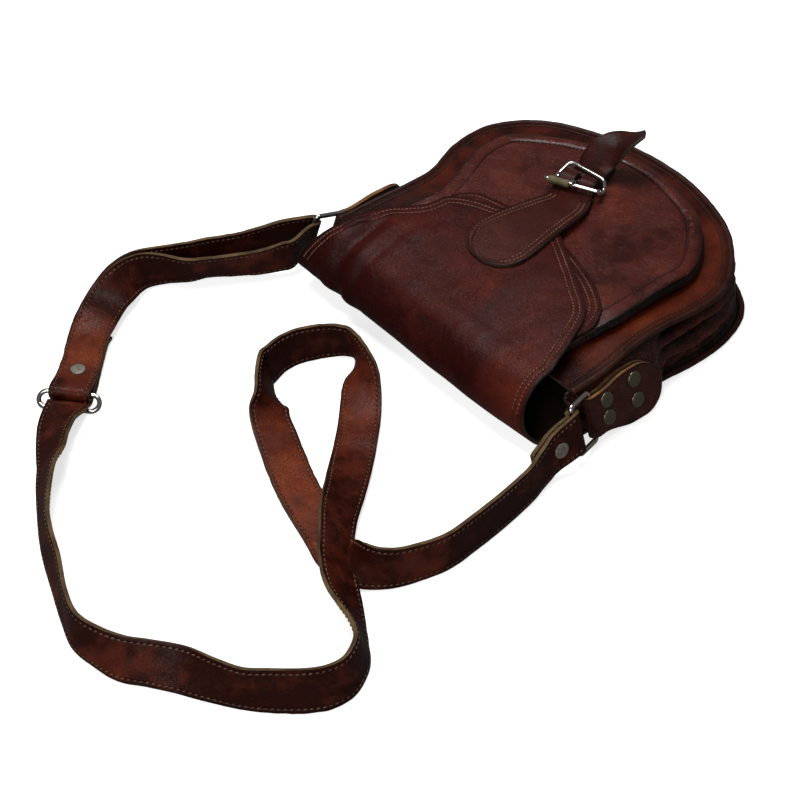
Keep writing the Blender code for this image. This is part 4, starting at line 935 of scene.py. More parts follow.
def grid_faces(rows: int, columns: int, start: int = 0, around: bool = False,
               over: bool = False) -> list[Face]:
    """Quads of a grid of places, row by row.

    Args:
        rows: Number of rows.
        columns: Places in a row.
        start: Number of the first place.
        around: Whether each row closes on itself.
        over: Whether the last row joins the first.

    Returns:
        The quads.
    """
    faces = []
    for row in range(rows if over else rows - 1):
        low, high = start + row * columns, start + (row + 1) % rows * columns
        for column in range(columns if around else columns - 1):
            after = (column + 1) % columns
            faces.append((low + column, low + after, high + after, high + column))
    return faces


def plan_border(places: Path, line: Line) -> list[float]:
    """Distance in plan of each place from a line of x and distance down."""
    flat = np.array([(p.x, FORM.down(p)) for p in places])
    return gaps_to_line(flat, np.array([p[:2] for p in line])).tolist()


def fan_sheet(name: str, seam: Line, across: int, middle: Plan, height: Height,
              insets: Sequence[float], rings: int, tint: Height | None = None) -> Sheet:
    """Panel as rings of its outline round a middle, over a height rule.

    Args:
        name: Name of the piece.
        seam: Sewn edge, open along the panel's straight top.
        across: Spans of the straight top edge.
        middle: Point that the rings close on.
        height: Height of the surface at x and distance down.
        insets: Distances of the outer rings from the seam.
        rings: Number of rings within them.
        tint: Tone at x and distance down: random warmth, and on some panels painted shade and light.

    Returns:
        The drawn sheet.
    """
    top = seam[0][1]
    outlines = []
    for inset in insets:
        moved = [(x, max(down, top + inset * 0.3)) for x, down in inset_line(seam, inset)]
        outlines.append(closed_outline(moved, across))
    for step in range(1, rings):
        share = 1 - step / rings
        outlines.append([(middle[0] + (x - middle[0]) * share, middle[1] + (down - middle[1]) * share)
                         for x, down in outlines[len(insets) - 1]])
    size = len(outlines[0])
    places = [FORM.point(x, down, height(x, down)) for line in outlines for x, down in line]
    places.append(FORM.point(middle[0], middle[1], height(*middle)))
    faces = grid_faces(len(outlines), size, around=True)
    inner = (len(outlines) - 1) * size
    for index in range(size):
        faces.append((inner + index, inner + (index + 1) % size, len(places) - 1))
    tints = [tint(p.x, FORM.down(p)) for p in places] if tint else []
    return Sheet(name, places, faces, UP, plan_border(places, seam), tints)


def ribbon(name: str, line: Run, columns: int, out: Vector,
           tints: Sequence[float] = (), skip: Callable[[Vector], bool] | None = None) -> Sheet:
    """Strip of hide across stations of place, width direction and half width.

    Args:
        name: Name of the piece.
        line: Stations along the strip.
        columns: Points across the strip.
        out: Direction of the grain side at the first station.
        tints: Tone at each station: random warmth, and on some strips painted shade.
        skip: Test of a place that lies in a hole.

    Returns:
        The drawn sheet.
    """
    places: list[Vector] = []
    border: list[float] = []
    warm: list[float] = []
    last = len(line) - 1
    ways = [(b[0] - a[0]).normalized() for a, b in zip(line, line[1:])]
    for index, (place, width, half) in enumerate(line):
        travel = (ways[min(index, last - 1)] + ways[max(index - 1, 0)]).normalized()
        side = (width - travel * width.dot(travel)).normalized()
        for column in range(columns):
            share = 2 * column / (columns - 1) - 1
            places.append(place + side * (half * share))
            border.append(half * (1 - abs(share)))
            warm.append(tints[index] if tints else 0.5)
    faces = grid_faces(len(line), columns)
    if skip:
        faces = [f for f in faces if not skip(sum((places[i] for i in f), Vector()) / len(f))]
    return Sheet(name, places, faces, out, border, warm)


def wire(name: str, points: Path, radius: float, finish: Finish, closed: bool) -> Piece:
    """Round wire along points.

    Args:
        name: Name of the piece.
        points: Points of its middle line.
        radius: Radius of the wire.
        finish: Its metal.
        closed: Whether the line closes on itself.

    Returns:
        The wire's mesh object.
    """
    curve = bpy.data.curves.new(name, "CURVE")
    curve.dimensions = "3D"
    curve.bevel_depth = radius
    curve.bevel_resolution = 5
    curve.use_fill_caps = not closed
    spline = curve.splines.new("POLY")
    spline.points.add(len(points) - 1)
    for spot, place in zip(spline.points, points):
        spot.co = (*place, 1.0)
    spline.use_cyclic_u = closed
    curve.materials.append(finish.material())
    return freeze(keep(name, curve))


def lathe(name: str, profile: Sequence[Plan], place: Vector, axis: Vector, finish: Finish,
          closed: bool = False, count: int = 28) -> Piece:
    """Turned piece from a profile of radius and height along an axis.

    Args:
        name: Name of the piece.
        profile: Points of radius and height.
        place: Foot of the axis.
        axis: Direction of the axis.
        finish: Finish of the piece.
        closed: Whether the profile is a ring's closed section.
        count: Sides of the turning.

    Returns:
        The turned mesh object.
    """
    turn = UP.rotation_difference(axis).to_matrix()
    size = len(profile)
    verts = []
    for step in range(count):
        angle = tau * step / count
        for radius, along in profile:
            verts.append(place + turn @ Vector((radius * cos(angle), radius * sin(angle), along)))
    faces = grid_faces(count, size, around=closed, over=True)
    if not closed:
        faces += [tuple(step * size + end for step in range(count)) for end in (0, size - 1)]
    mesh = new_mesh(name, verts, faces, True)
    mesh.shade_smooth()
    mesh.set_sharp_from_angle(angle=radians(50))
    mesh.materials.append(finish.material())
    return keep(name, mesh)


@dataclass
class Copies:
    """Geometry Nodes tree that sets one small piece on each of a mesh's points."""

    tree: bpy.types.NodeTree | None = None
    sockets: dict[str, str] = field(default_factory=dict)

    def build(self) -> None:
        """Make the tree with its named inputs."""
        tree = bpy.data.node_groups.new("pieces_on_points", "GeometryNodeTree")
        face = tree.interface
        types = {"Points": "Geometry", "Piece": "Object", "Size spread": "Float", "Seed": "Int",
                 "Finish": "Material"}
        for label, kind in types.items():
            item = face.new_socket(label, in_out="INPUT", socket_type="NodeSocket" + kind)
            self.sockets[label] = item.identifier
        face.new_socket("Geometry", in_out="OUTPUT", socket_type="NodeSocketGeometry")
        kinds = ("NodeGroupInput", "NodeGroupOutput", "GeometryNodeObjectInfo", "FunctionNodeAxesToRotation",
                 "FunctionNodeRandomValue", "ShaderNodeMath", "ShaderNodeMath", "GeometryNodeInstanceOnPoints",
                 "GeometryNodeRealizeInstances", "GeometryNodeSetMaterial")
        source, sink, info, axes, spread, low, high, setter, real, paint = map(tree.nodes.new, kinds)
        axes.primary_axis, axes.secondary_axis = "Z", "X"
        spread.data_type = "FLOAT"
        low.operation, high.operation = "SUBTRACT", "ADD"
        link = tree.links.new
        for word, socket in (("up", 0), ("way", 1)):
            named = tree.nodes.new("GeometryNodeInputNamedAttribute")
            named.data_type = "FLOAT_VECTOR"
            named.inputs["Name"].default_value = word
            link(named.outputs["Attribute"], axes.inputs[socket])
        link(source.outputs["Points"], setter.inputs["Points"])
        link(source.outputs["Piece"], info.inputs["Object"])
        link(info.outputs["Geometry"], setter.inputs["Instance"])
        link(axes.outputs[0], setter.inputs["Rotation"])
        for node in (low, high):
            node.inputs[0].default_value = 1.0
            link(source.outputs["Size spread"], node.inputs[1])
        floats = [socket for socket in spread.inputs if socket.type == "VALUE"]
        link(low.outputs[0], floats[0])
        link(high.outputs[0], floats[1])
        link(source.outputs["Seed"], spread.inputs["Seed"])
        link(next(socket for socket in spread.outputs if socket.type == "VALUE"), setter.inputs["Scale"])
        link(setter.outputs[0], real.inputs[0])
        link(real.outputs[0], paint.inputs["Geometry"])
        link(source.outputs["Finish"], paint.inputs["Material"])
        link(paint.outputs[0], sink.inputs[0])
        self.tree = tree

    def set(self, name: str, points: Sequence[Triple], unit: Piece,
            finish: Finish, spread: float, seed: int) -> Piece:
        """Set a copy of a unit on each point.

        Args:
            name: Name of the finished piece.
            points: Place, way and up direction of each copy.
            unit: Small piece, drawn round the origin with its length on X.
            finish: Finish of the copies.
            spread: Share by which the sizes vary.
            seed: Seed of that variation.

        Returns:
            One mesh object of all the copies.
        """
        if self.tree is None:
            self.build()
        mesh = new_mesh(name, [p[0] for p in points], [])
        for label, slot in (("way", 1), ("up", 2)):
            carry(mesh, label, [c for p in points for c in p[slot]], "FLOAT_VECTOR")
        made = keep(name, mesh)
        modifier = made.modifiers.new("copies", "NODES")
        modifier.node_group = self.tree
        values = {"Piece": unit, "Size spread": spread, "Seed": seed, "Finish": finish.material()}
        for label, value in values.items():
            modifier[self.sockets[label]] = value
        piece = freeze(made)
        for label in ("way", "up"):
            if label in piece.data.attributes:
                piece.data.attributes.remove(piece.data.attributes[label])
        piece.data.shade_smooth()
        return piece


@dataclass
class Sewing:
    """Rows of stitches, gathered for each body and thread and set at the end."""

    pitch: float = 0.0028
    length: float = 0.0021
    radius: float = 0.00052
    rows: dict[tuple[str, str, Finish], list[Triple]] = field(default_factory=dict)

    def row(self, name: str, body: str, thread: Finish, path: Path, ups: Path,
            pitch: float | None = None) -> None:
        """Add a row of stitches along a path.

        Args:
            name: Piece that the stitches become part of.
            body: Body that carries them.
            thread: Their thread.
            path: Places on the surface of the hide.
            ups: Surface normal at each place.
            pitch: Distance from stitch to stitch.
        """
        pitch = pitch or self.pitch
        keys = [(*p, *u) for p, u in zip(path, ups)]
        total = sum((b - a).length for a, b in zip(path, path[1:]))
        spots = resample(keys, max(int(total / pitch) * 2 + 1, 3), 3)
        found = self.rows.setdefault((name, body, thread), [])
        for index in range(1, len(spots) - 1, 2):
            before, here, after = (Vector(spots[index + k][:3]) for k in (-1, 0, 1))
            way = (after - before).normalized()
            up = Vector(spots[index][3:]).normalized()
            lean = 0.22 + noise.noise(here * 900.0) * 0.15
            way = (way + up.cross(way) * lean).normalized()
            found.append((here + up * (self.radius * 0.25), way, up))

    def unit(self) -> Piece:
        """One stitch: a flattened, round-ended bar of thread on X."""
        sides, bands = 6, 5
        places = []
        for band in range(1, bands):
            along, wide = -cos(pi * band / bands), sin(pi * band / bands) * self.radius
            end = copysign(abs(along) ** 0.6, along) * self.length / 2
            for side in range(sides):
                angle = tau * side / sides
                places.append((end, wide * cos(angle), wide * sin(angle) * 0.8))
        faces = grid_faces(bands - 1, sides, around=True)
        last = len(places)
        places += [(-self.length / 2, 0.0, 0.0), (self.length / 2, 0.0, 0.0)]
        for side in range(sides):
            after = (side + 1) % sides
            faces += [(after, side, last), (last - sides + side, last - sides + after, last + 1)]
        return keep("stitch_unit", new_mesh("stitch_unit", places, faces))

    def finish(self, copies: Copies) -> dict[str, Piece]:
        """Set every row.

        Args:
            copies: Tree that sets the copies.

        Returns:
            Each stitched piece by its name.
        """
        unit = self.unit()
        made = {}
        for seed, ((name, body, thread), points) in enumerate(self.rows.items()):
            piece = copies.set(name, points, unit, thread, 0.10, seed + 3)
            if body:
                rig.ride(piece, body)
            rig.slot(piece, "leather_strap" if "strap" in name else "leather_red")
            made[name] = piece
            LOG.info("%s: %d stitches", name, len(points))
        bpy.data.objects.remove(unit)
        return made


COPIES = Copies()
SEWING = Sewing()


def seated(piece: Piece, body: str, slot: str, *nodes: str) -> Piece:
    """Let a piece ride on a body and stand for its nodes, and report it."""
    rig.ride(piece, body)
    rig.slot(piece, slot)
    if nodes:
        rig.replaces(piece, *nodes)
    LOG.info("%s on %s: %d faces", piece.name, body, len(piece.data.polygons))
    return piece


def bent(piece: Piece, slot: str, bodies: tuple[str, str], start: Vector, end: Vector, *nodes: str) -> None:
    """Let a piece bend from one body to the next and stand for its nodes, and report it."""
    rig.slot(piece, slot)
    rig.replaces(piece, *nodes)
    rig.blend(piece, *bodies, start, end)
    LOG.info("%s bends from %s to %s: %d faces", piece.name, *bodies, len(piece.data.polygons))


def surface_path(line: Line, height: Height) -> tuple[list[Vector], list[Vector]]:
    """Places and normals on a height rule under a line in plan.

    Args:
        line: Points of x and distance down.
        height: Height of the surface.

    Returns:
        The places, and the surface normal at each.
    """
    step = 0.0008
    places, ups = [], []
    for x, down in line:
        rise_x = (height(x + step, down) - height(x - step, down)) / (2 * step)
        rise_y = (height(x, down + step) - height(x, down - step)) / (2 * step)
        normal = Vector((-rise_x, -rise_y, 1.0)).normalized()
        places.append(FORM.point(x, down, height(x, down)))
        ups.append(normal)
    return places, ups


def wrinkle(place: Vector, size: float, depth: float, seed: float) -> float:
    """Soft folds of a hide: sharp valleys between round swellings."""
    spot = place / size + Vector((seed, seed * 1.7, seed * 0.3))
    bent = spot + noise.noise_vector(spot * 0.6) * 0.8
    return depth * (abs(noise.noise(bent)) * 2 - 0.35)


# ---- the bag's sub-assemblies


@dataclass
class SewnBody:
    """Front, back and side of the bag, with the turned edges of both seams."""

    gusset_leather: float = 0.0018
    gusset_swell: float = 0.0125
    piping_radius: float = 0.0023
    piping_gap: float = -0.0009
    fold_split: float = 0.0085
    lobe: float = 0.0088
    middle: Plan = (0.0, 0.119)
    stitch_inset: float = 0.0042
    wall_rows: int = 46
    around: int = 300
    folds: tuple[Fold, ...] = (
        (0.09, 0.045, -0.0036),
        (0.42, 0.080, 0.0030),
        (0.61, 0.075, -0.0066),
        (0.79, 0.050, 0.0036),
        (0.91, 0.040, -0.0046),
    )

    def seam(self, top: float, outward: float = 0.0) -> Points:
        """Seam of the bag's body from a distance down, moved out."""
        return FORM.seam_line(BODY_SHARES, FORM.length, FORM.half_width, top, self.around, outward)

    def back_seam(self, top: float, outward: float) -> Points:
        """Seam of the back, that stands out round the lower right end."""
        line = self.seam(top, outward)
        result = []
        for (x, down), normal in zip(line, plan_normals(line)):
            lobe = self.lobe * exp(-((down - 0.203) / 0.024) ** 2) * ease(x / 0.05)
            result.append([x - normal[0] * lobe, down - normal[1] * lobe])
        return result

    def front_top(self, x: float, down: float) -> float:
        """Outer face of the front panel with the soft swell of its leather."""
        spot = FORM.point(x, down, 0.0)
        return FORM.front_over(x, down) + noise.noise(spot * 38.0) * 0.0003

    def front_tint(self, x: float, down: float) -> float:
        """Tone of the front panel: warmer towards the right, painted shade near its top next to the fold, and random
        mottling.
        """
        spot = FORM.point(x, down, 0.0)
        side = ease((x - 0.02) / 0.06)
        # Painted shade: the panel darkens near its top, next to the overhanging fold.
        fold = 1 - ease((down - 0.036) / 0.035)
        return 0.42 + 0.28 * side - 0.55 * fold + 0.30 * noise.noise(spot * 30.0)

    def build_front(self) -> None:
        """Front panel, its stitch row and the piping along it."""
        seam = self.seam(FORM.front_top)
        insets = (0.0, 0.0008, 0.002, 0.0034, 0.0042, 0.005, 0.0065, 0.009, 0.012, 0.016)
        sheet = fan_sheet("front_leather", seam, 40, self.middle, self.front_top, insets, 22,
                          self.front_tint)
        piece = sheet.piece(FORM.leather, lined(Finish.FRONT), Drawn.OUTER)
        seated(piece, "bag", "leather_red", "front_panel")
        line = inset_line(seam, self.stitch_inset)[2:-2]
        SEWING.row("front_stitches", "bag", Finish.DARK_THREAD, *surface_path(line, self.front_top))
        reach = self.piping_radius + self.piping_gap
        edge = self.seam(FORM.front_top, reach)
        middle = [FORM.point(x, down, FORM.front_under(x, down) + FORM.leather / 2) for x, down in edge]
        self.build_piping("front_edge", middle, "front_piping")

    def build_piping(self, name: str, middle: Path, node: str) -> None:
        """Turned leather edge along a seam, uneven as hand-turned edges are."""
        rows = []
        count = 14
        last = len(middle) - 1
        for index, place in enumerate(middle):
            travel = travel_at(middle, index)
            side = UP.cross(travel).normalized()
            over = travel.cross(side)
            for step in range(count):
                angle = tau * step / count
                way = side * cos(angle) + over * sin(angle)
                swell = 1 + 0.10 * noise.noise(place * 160.0 + way * 0.4)
                rows.append(place + way * (self.piping_radius * 0.96 * swell))
        faces = grid_faces(len(middle), count, around=True)
        faces.append(tuple(range(count)))
        faces.append(tuple(range(last * count, (last + 1) * count))[::-1])
        mesh = new_mesh(name, rows, faces, True)
        for label, value in (("border", 0.01), ("tint", 0.5)):
            carry(mesh, label, [value] * len(rows))
        mesh.shade_smooth()
        mesh.materials.append(Finish.PIPING.material())
        seated(keep(name, mesh), "bag", "leather_dark", node)

    def build_gusset(self) -> None:
        """Side wall, bulging and creased between its seams and flat behind the tabs."""
        low = self.back_seam(FORM.gusset_top, FORM.back_margin)
        high = self.seam(FORM.gusset_top)
        normals = plan_normals(high)
        swells = resample(list(enumerate(SWELL_SHARES)), self.around)
        places, tints, border = [], [], []
        for index in range(self.around):
            outward = Vector((-normals[index][0], -normals[index][1], 0))
            foot, head = low[index], high[index]
            bottom = FORM.leather + FORM.gap
            top = FORM.front_under(head[0], head[1]) - FORM.gap
            swell = self.gusset_swell * swells[index][1]
            for row in range(self.wall_rows + 1):
                share = row / self.wall_rows
                x = foot[0] + (head[0] - foot[0]) * share
                down = foot[1] + (head[1] - foot[1]) * share
                height = bottom + (top - bottom) * share
                flat = TABS.zone(down)
                free = (1 - flat) * sin(pi * share)
                spot = FORM.point(x, down, height)
                crease = wrinkle(spot, 0.016, 0.0014, 3.0) + wrinkle(spot, 0.006, 0.0006, 8.0)
                loose = self.side_folds(spot, share) * (1 - flat)
                spot += outward * ((swell + crease) * free + loose - FORM.seam_inset)
                spot.x += TABS.wall_shift(spot, share) * flat
                places.append(spot)
                border.append(0.012 * sin(pi * share))
                # Painted light and shade: the tint rises on the folds' ridges and falls in their grooves.
                tints.append(0.42 + 62.0 * loose + 0.18 * noise.noise(spot * 34.0))
        faces = grid_faces(self.around, self.wall_rows + 1)
        sheet = Sheet("side_gusset", places, faces, Vector((1, 0, 0)), border, tints)
        piece = sheet.piece(self.gusset_leather, lined(Finish.SIDE), Drawn.OUTER)
        seated(piece, "bag", "leather_dark", "gusset")

    def side_folds(self, spot: Vector, share: float) -> float:
        """Folds that run along the side wall, between sharp grooves under its seams."""
        drift = 0.13 * noise.noise(spot * 12.0) + 0.03 * noise.noise(spot * 45.0)
        total = 0.0
        for middle, width, depth in self.folds:
            swing = 0.9 + 1.1 * noise.noise(spot * 15.0 + Vector((middle * 9, 0, 0)))
            total += depth * swing * exp(-((share - middle - drift) / width) ** 2)
        return total * min(ease(share / 0.06), ease((1 - share) / 0.06))

    def build_back(self) -> None:
        """Back panel that runs on into the lower part of the top fold."""
        start = FORM.fold_hinge[0] + FORM.gap + FORM.leather / 2
        seam = self.back_seam(start, FORM.back_margin)
        across = 60
        sheet = fan_sheet("back_leather", seam, across, self.middle, lambda x, down: FORM.leather / 2,
                          (0.0, 0.001, 0.003, 0.006, 0.010), 10)
        edge = [len(seam) - 1] + list(range(len(seam), len(seam) + across - 1)) + [0]
        rows = [row for row in FLAP.fold_rows(across) if row[0].z <= self.fold_split]
        first = len(sheet.places)
        for row in rows:
            sheet.places.extend(row)
        size = across + 1
        for step in range(across):
            sheet.faces.append((edge[step], edge[step + 1], first + step + 1, first + step))
        sheet.faces.extend(grid_faces(len(rows), size, first))
        sheet.border = list(sheet.border) + [0.02] * (size * len(rows))
        piece = self.consistent(sheet).piece(FORM.leather, lined(Finish.BACK))
        down, height = FORM.fold_hinge
        start, end = FORM.point(0, down + 0.004, height), FORM.point(0, down - 0.004, height + 0.002)
        bent(piece, "leather_dark", ("bag", "flap_fold"), start, end, "back_panel")
        reach = self.piping_radius + self.piping_gap
        edge_line = self.back_seam(FORM.gusset_top, FORM.back_margin + reach)
        middle = [FORM.point(x, down, self.piping_radius) for x, down in edge_line]
        self.build_piping("back_edge", middle, "back_piping")

    def consistent(self, sheet: Sheet) -> Sheet:
        """The sheet with all its faces turned one way, seen from under the bag."""
        mesh = new_mesh("order", sheet.places, sheet.faces, True)
        sheet.faces = [tuple(polygon.vertices) for polygon in mesh.polygons]
        bpy.data.meshes.remove(mesh)
        sheet.out = -UP
        return sheet


@dataclass
class FrontPocket:
    """Pocket on the front: its panel with a turned band, and its shallow gusset."""

    gusset_leather: float = 0.0016
    gusset_bulge: float = 0.0020
    band: float = 0.0095
    around: int = 260

    def seam(self) -> Points:
        """Sewn edge of the pocket."""
        form = FORM
        size = (form.pocket_length, form.pocket_half_width, form.pocket_top)
        return form.seam_line(POCKET_SHARES, *size, self.around)

    def top(self, x: float, down: float) -> float:
        """Outer face of the pocket panel with its soft dents."""
        spot = FORM.point(x, down, 0.0)
        free = ease((down - 0.118) / 0.02)
        dents = noise.noise(spot * 30.0) * 0.0006 + noise.noise(spot * 85.0) * 0.00025
        return FORM.pocket_over(x, down) - 0.0001 + dents * free

    def build(self) -> None:
        """Panel with its band and stitch row, and the gusset under it."""
        seam = self.seam()
        insets = (0.0, 0.0008, 0.0022, 0.004, 0.006, 0.0078, 0.0088, 0.0095, 0.0102, 0.0112, 0.013, 0.0155)
        sheet = fan_sheet("pocket_front", seam, 36, (0.0, FORM.pocket_length * 0.6), self.top, insets, 46,
                          lambda x, d: 0.5 + 0.25 * noise.noise(FORM.point(x, d, 0) * 28.0))
        self.raise_band(sheet, len(insets), len(seam) + 35)
        piece = sheet.piece(FORM.pocket_leather, lined(Finish.POCKET), Drawn.OUTER)
        seated(piece, "bag", "leather_red", "pocket_panel")
        line = inset_line(seam, self.band)[8:-8]
        SEWING.row("pocket_stitches", "bag", Finish.DARK_THREAD, *surface_path(line, self.top))
        self.build_gusset()

    def raise_band(self, sheet: Sheet, rings: int, size: int) -> None:
        """Lift the turned band between the edge and its stitch row, and pleat it."""
        for index in range(rings * size):
            place = sheet.places[index]
            gap = sheet.border[index]
            free = ease((FORM.down(place) - 0.112) / 0.02)
            round_band = sin(pi * min(gap / self.band, 1.0)) ** 0.7
            pleat = abs(noise.noise(Vector((place.x, place.y, 0.0)) * 210.0))
            dip = exp(-((gap - self.band) / 0.0012) ** 2)
            place.z += (0.0013 * round_band - 0.0008 * round_band * pleat - 0.0004 * dip) * free

    def build_gusset(self) -> None:
        """Shallow side wall of the pocket, darkened as painted shade."""
        line = self.seam()
        normals = plan_normals(line)
        rows = 8
        places = []
        for (x, down), normal in zip(line, normals):
            outward = Vector((-normal[0], -normal[1], 0))
            for row in range(rows + 1):
                share = row / rows
                free = sin(pi * share)
                spot = FORM.point(x, down, 0.0)
                out = (self.gusset_bulge + wrinkle(spot, 0.010, 0.0008, 5.0)) * free - FORM.seam_inset
                spot += outward * out
                bottom = FORM.front_over(spot.x, FORM.down(spot)) + FORM.gap * 1.5
                top = FORM.pocket_under(x, down) - FORM.gap
                spot.z = bottom + (top - bottom) * share
                places.append(spot)
        # Painted shade: a low tint darkens the whole side wall, as the shadow under the pocket's edge.
        sheet = Sheet("pocket_side", places, grid_faces(self.around, rows + 1), Vector((1, 0, 0)),
                      tint=[0.22] * len(places))
        piece = sheet.piece(self.gusset_leather, lined(Finish.SIDE), Drawn.OUTER)
        seated(piece, "bag", "leather_dark", "pocket_gusset")


@dataclass
class Flap:
    """Flap with the fold over the top, the layer under its edge and the teardrop billet."""

    underlay_leather: float = 0.0016
    columns: int = 120
    rows: int = 84
    seam_rows: Plan = (0.0036, 0.0075)
    pitch: float = 0.0027
    thread_height: float = 0.030
    least_rise: float = 0.0009
    corner_folds: tuple[Fold, ...] = (
        (-0.0840, 0.0050, 0.0016),
        (-0.0720, 0.0050, -0.0030),
        (-0.0615, 0.0046, 0.0012),
        (-0.0520, 0.0044, -0.0014),
    )

    def fold_rows(self, across: int) -> list[list[Vector]]:
        """Rows of places round the fold, from the back up to the flap."""
        curve = smooth_points(FOLD_PROFILE, 5)
        last = len(curve) - 1
        swells = resample(list(enumerate(FOLD_SWELL)), across + 1)
        result = []
        for index, (down, height, left, right) in enumerate(curve):
            before, after = curve[max(index - 1, 0)], curve[min(index + 1, last)]
            run, rise = after[0] - before[0], after[1] - before[1]
            length = hypot(run, rise)
            loose = sin(pi * min(height / FORM.flap_hinge[1], 1.0)) ** 0.6
            row = []
            for k in range(across + 1):
                x = left + (right - left) * k / across
                spread_down = FORM.flap_hinge[0] - (FORM.flap_hinge[1] - height) * 0.8
                push = self.rise(x, spread_down) * ease((height - 0.008) / 0.016)
                push += 0.0010 * loose * noise.noise(Vector((x * 26.0, height * 40.0, 4.0)))
                moved = down - swells[k][1] * loose - rise / length * push
                row.append(FORM.point(x, moved, height + run / length * push))
            result.append(row)
        return result

    def corner(self, x: float, down: float) -> float:
        """Folds of the flap's left end, along the bag."""
        total = 0.0
        for start, width, depth in self.corner_folds:
            drift = 0.12 * (down - 0.012)
            total += depth * exp(-((x - start + drift) / width) ** 2)
        return total * ease((0.062 - down) / 0.042)

    def edge(self, shares: Sequence[Plan]) -> Points:
        """Dense line of a free edge, from right to left."""
        keys = [(x * FORM.flap_half_width, down * FORM.flap_length) for x, down in shares]
        return smooth_points(keys, 8)

    def wave(self, x: float, down: float) -> float:
        """Soft dents of the flap's leather over its even shape."""
        spot = FORM.point(x, down, 0.0)
        free = ease((0.060 - down) / 0.03)
        broad = noise.noise(spot * 19.0 + Vector((3.1, 0.4, 0.0))) * 0.0017 + 0.0009
        dents = -abs(noise.noise(spot * 42.0 + noise.noise_vector(spot * 25.0) * 0.5)) * 0.0009
        small = noise.noise(spot * 90.0) * 0.00028
        left = ease((-x - 0.030) / 0.03) * ease((0.066 - down) / 0.042)
        return (broad + small + dents) * (0.35 + 0.65 * free) + self.corner(x, down) + 0.0028 * left

    def top(self, x: float, down: float) -> float:
        """Outer face of the flap."""
        return FORM.flap_under(x, down) + FORM.leather + self.rise(x, down)

    def rise(self, x: float, down: float) -> float:
        """Height of the soft dents, never below the layer under the flap."""
        wave = self.wave(x, down)
        return (wave + sqrt(wave * wave + self.least_rise ** 2)) / 2 * self.cover(x, down)

    def cover(self, x: float, down: float) -> float:
        """Share of the dents that the flap keeps away from the teardrop."""
        far = hypot(x / 0.040, (down - 0.095) / 0.055)
        return ease((far - 0.75) / 0.5)

    def row_ends(self, down: float, edge: Line) -> Plan:
        """Left and right end of the flap at a distance down."""
        tip = max(range(len(edge)), key=lambda i: edge[i][1])
        right, left = edge[:tip + 1], edge[tip:][::-1]
        ends = []
        for branch in (left, right):
            downs = [p[1] for p in branch]
            ends.append(float(np.interp(down, downs, [p[0] for p in branch])))
        return ends[0], ends[1]

    def build(self) -> None:
        """All pieces of the flap."""
        self.build_flap()
        self.build_underlay()
        BILLET.build()

    def build_flap(self) -> None:
        """Flap and the upper part of the fold, as one cut."""
        edge = self.edge(FLAP_EDGE_SHARES)
        rows = [row for row in self.fold_rows(self.columns) if row[0].z > BODY.fold_split - 0.0012]
        start, end = FORM.flap_hinge[0] + 0.0006, max(p[1] for p in edge) - 0.0003
        for step in range(self.rows + 1):
            share = 1 - (1 - step / self.rows) ** 1.25
            down = start + (end - start) * share
            left, right = self.row_ends(max(down, edge[0][1], edge[-1][1]), edge)
            row = []
            for column in range(self.columns + 1):
                x = left + (right - left) * column / self.columns
                row.append(FORM.point(x, down, self.top(x, down) - FORM.leather / 2))
            rows.append(row)
        places = [p for row in rows for p in row]
        rim = [row[-1] for row in rows] + [row[0] for row in rows[::-1]]
        border = gaps_to_line(np.array(places), np.array(rim)).tolist()
        tints = [0.5 + self.tint(p) for p in places]
        faces = grid_faces(len(rows), self.columns + 1)
        sheet = Sheet("flap_leather_cut", places, faces, Vector((0, -1, 0.2)), border, tints)
        piece = sheet.piece(FORM.leather, lined(Finish.FLAP))
        down, height = FORM.flap_hinge
        start, end = FORM.point(0, down - 0.006, height), FORM.point(0, down + 0.006, height)
        bent(piece, "leather_red", ("flap_fold", "flap"), start, end, "main_flap", "flap_fold")
        self.stitch_flap(rows)

    def tint(self, place: Vector) -> float:
        """Tone of the flap: a painted highlight as a warm glow on its right part near the fold, darker towards the
        left end, painted shade on the fold's near face, and random mottling.
        """
        down = FORM.down(place)
        # Painted highlight: a warm glow on the right part of the flap, near the fold.
        warm = 0.30 * ease((place.x - 0.05) / 0.06) * ease((0.06 - down) / 0.04)
        # Darker towards the left end.
        dark = -0.22 * ease((-place.x - 0.055) / 0.04)
        # Painted shade on the fold's near face, which faces away from the light.
        dark -= 0.30 * ease((0.012 - down) / 0.013) * (1 - ease((place.x - 0.05) / 0.05))
        return warm + dark + 0.18 * noise.noise(place * 20.0)

    def stitch_flap(self, rows: Sequence[Path]) -> None:
        """Two rows of pale thread round the free edge, up to the fold."""
        half = FORM.leather / 2
        for inset in self.seam_rows:
            for side in (0, 1):
                path, ups = [], []
                for index in range(1, len(rows) - 1):
                    row = rows[index] if side == 0 else rows[index][::-1]
                    path_point, up = self.inset_point(rows, index, side, inset)
                    if path_point is not None and row[0].z > 0.012:
                        path.append(path_point + up * half)
                        ups.append(up)
                first = next(n for n, place in enumerate(path) if place.z >= self.thread_height)
                path, ups = path[first:], ups[first:]
                SEWING.row("flap_stitches", "flap", Finish.PALE_THREAD, path, ups, self.pitch)

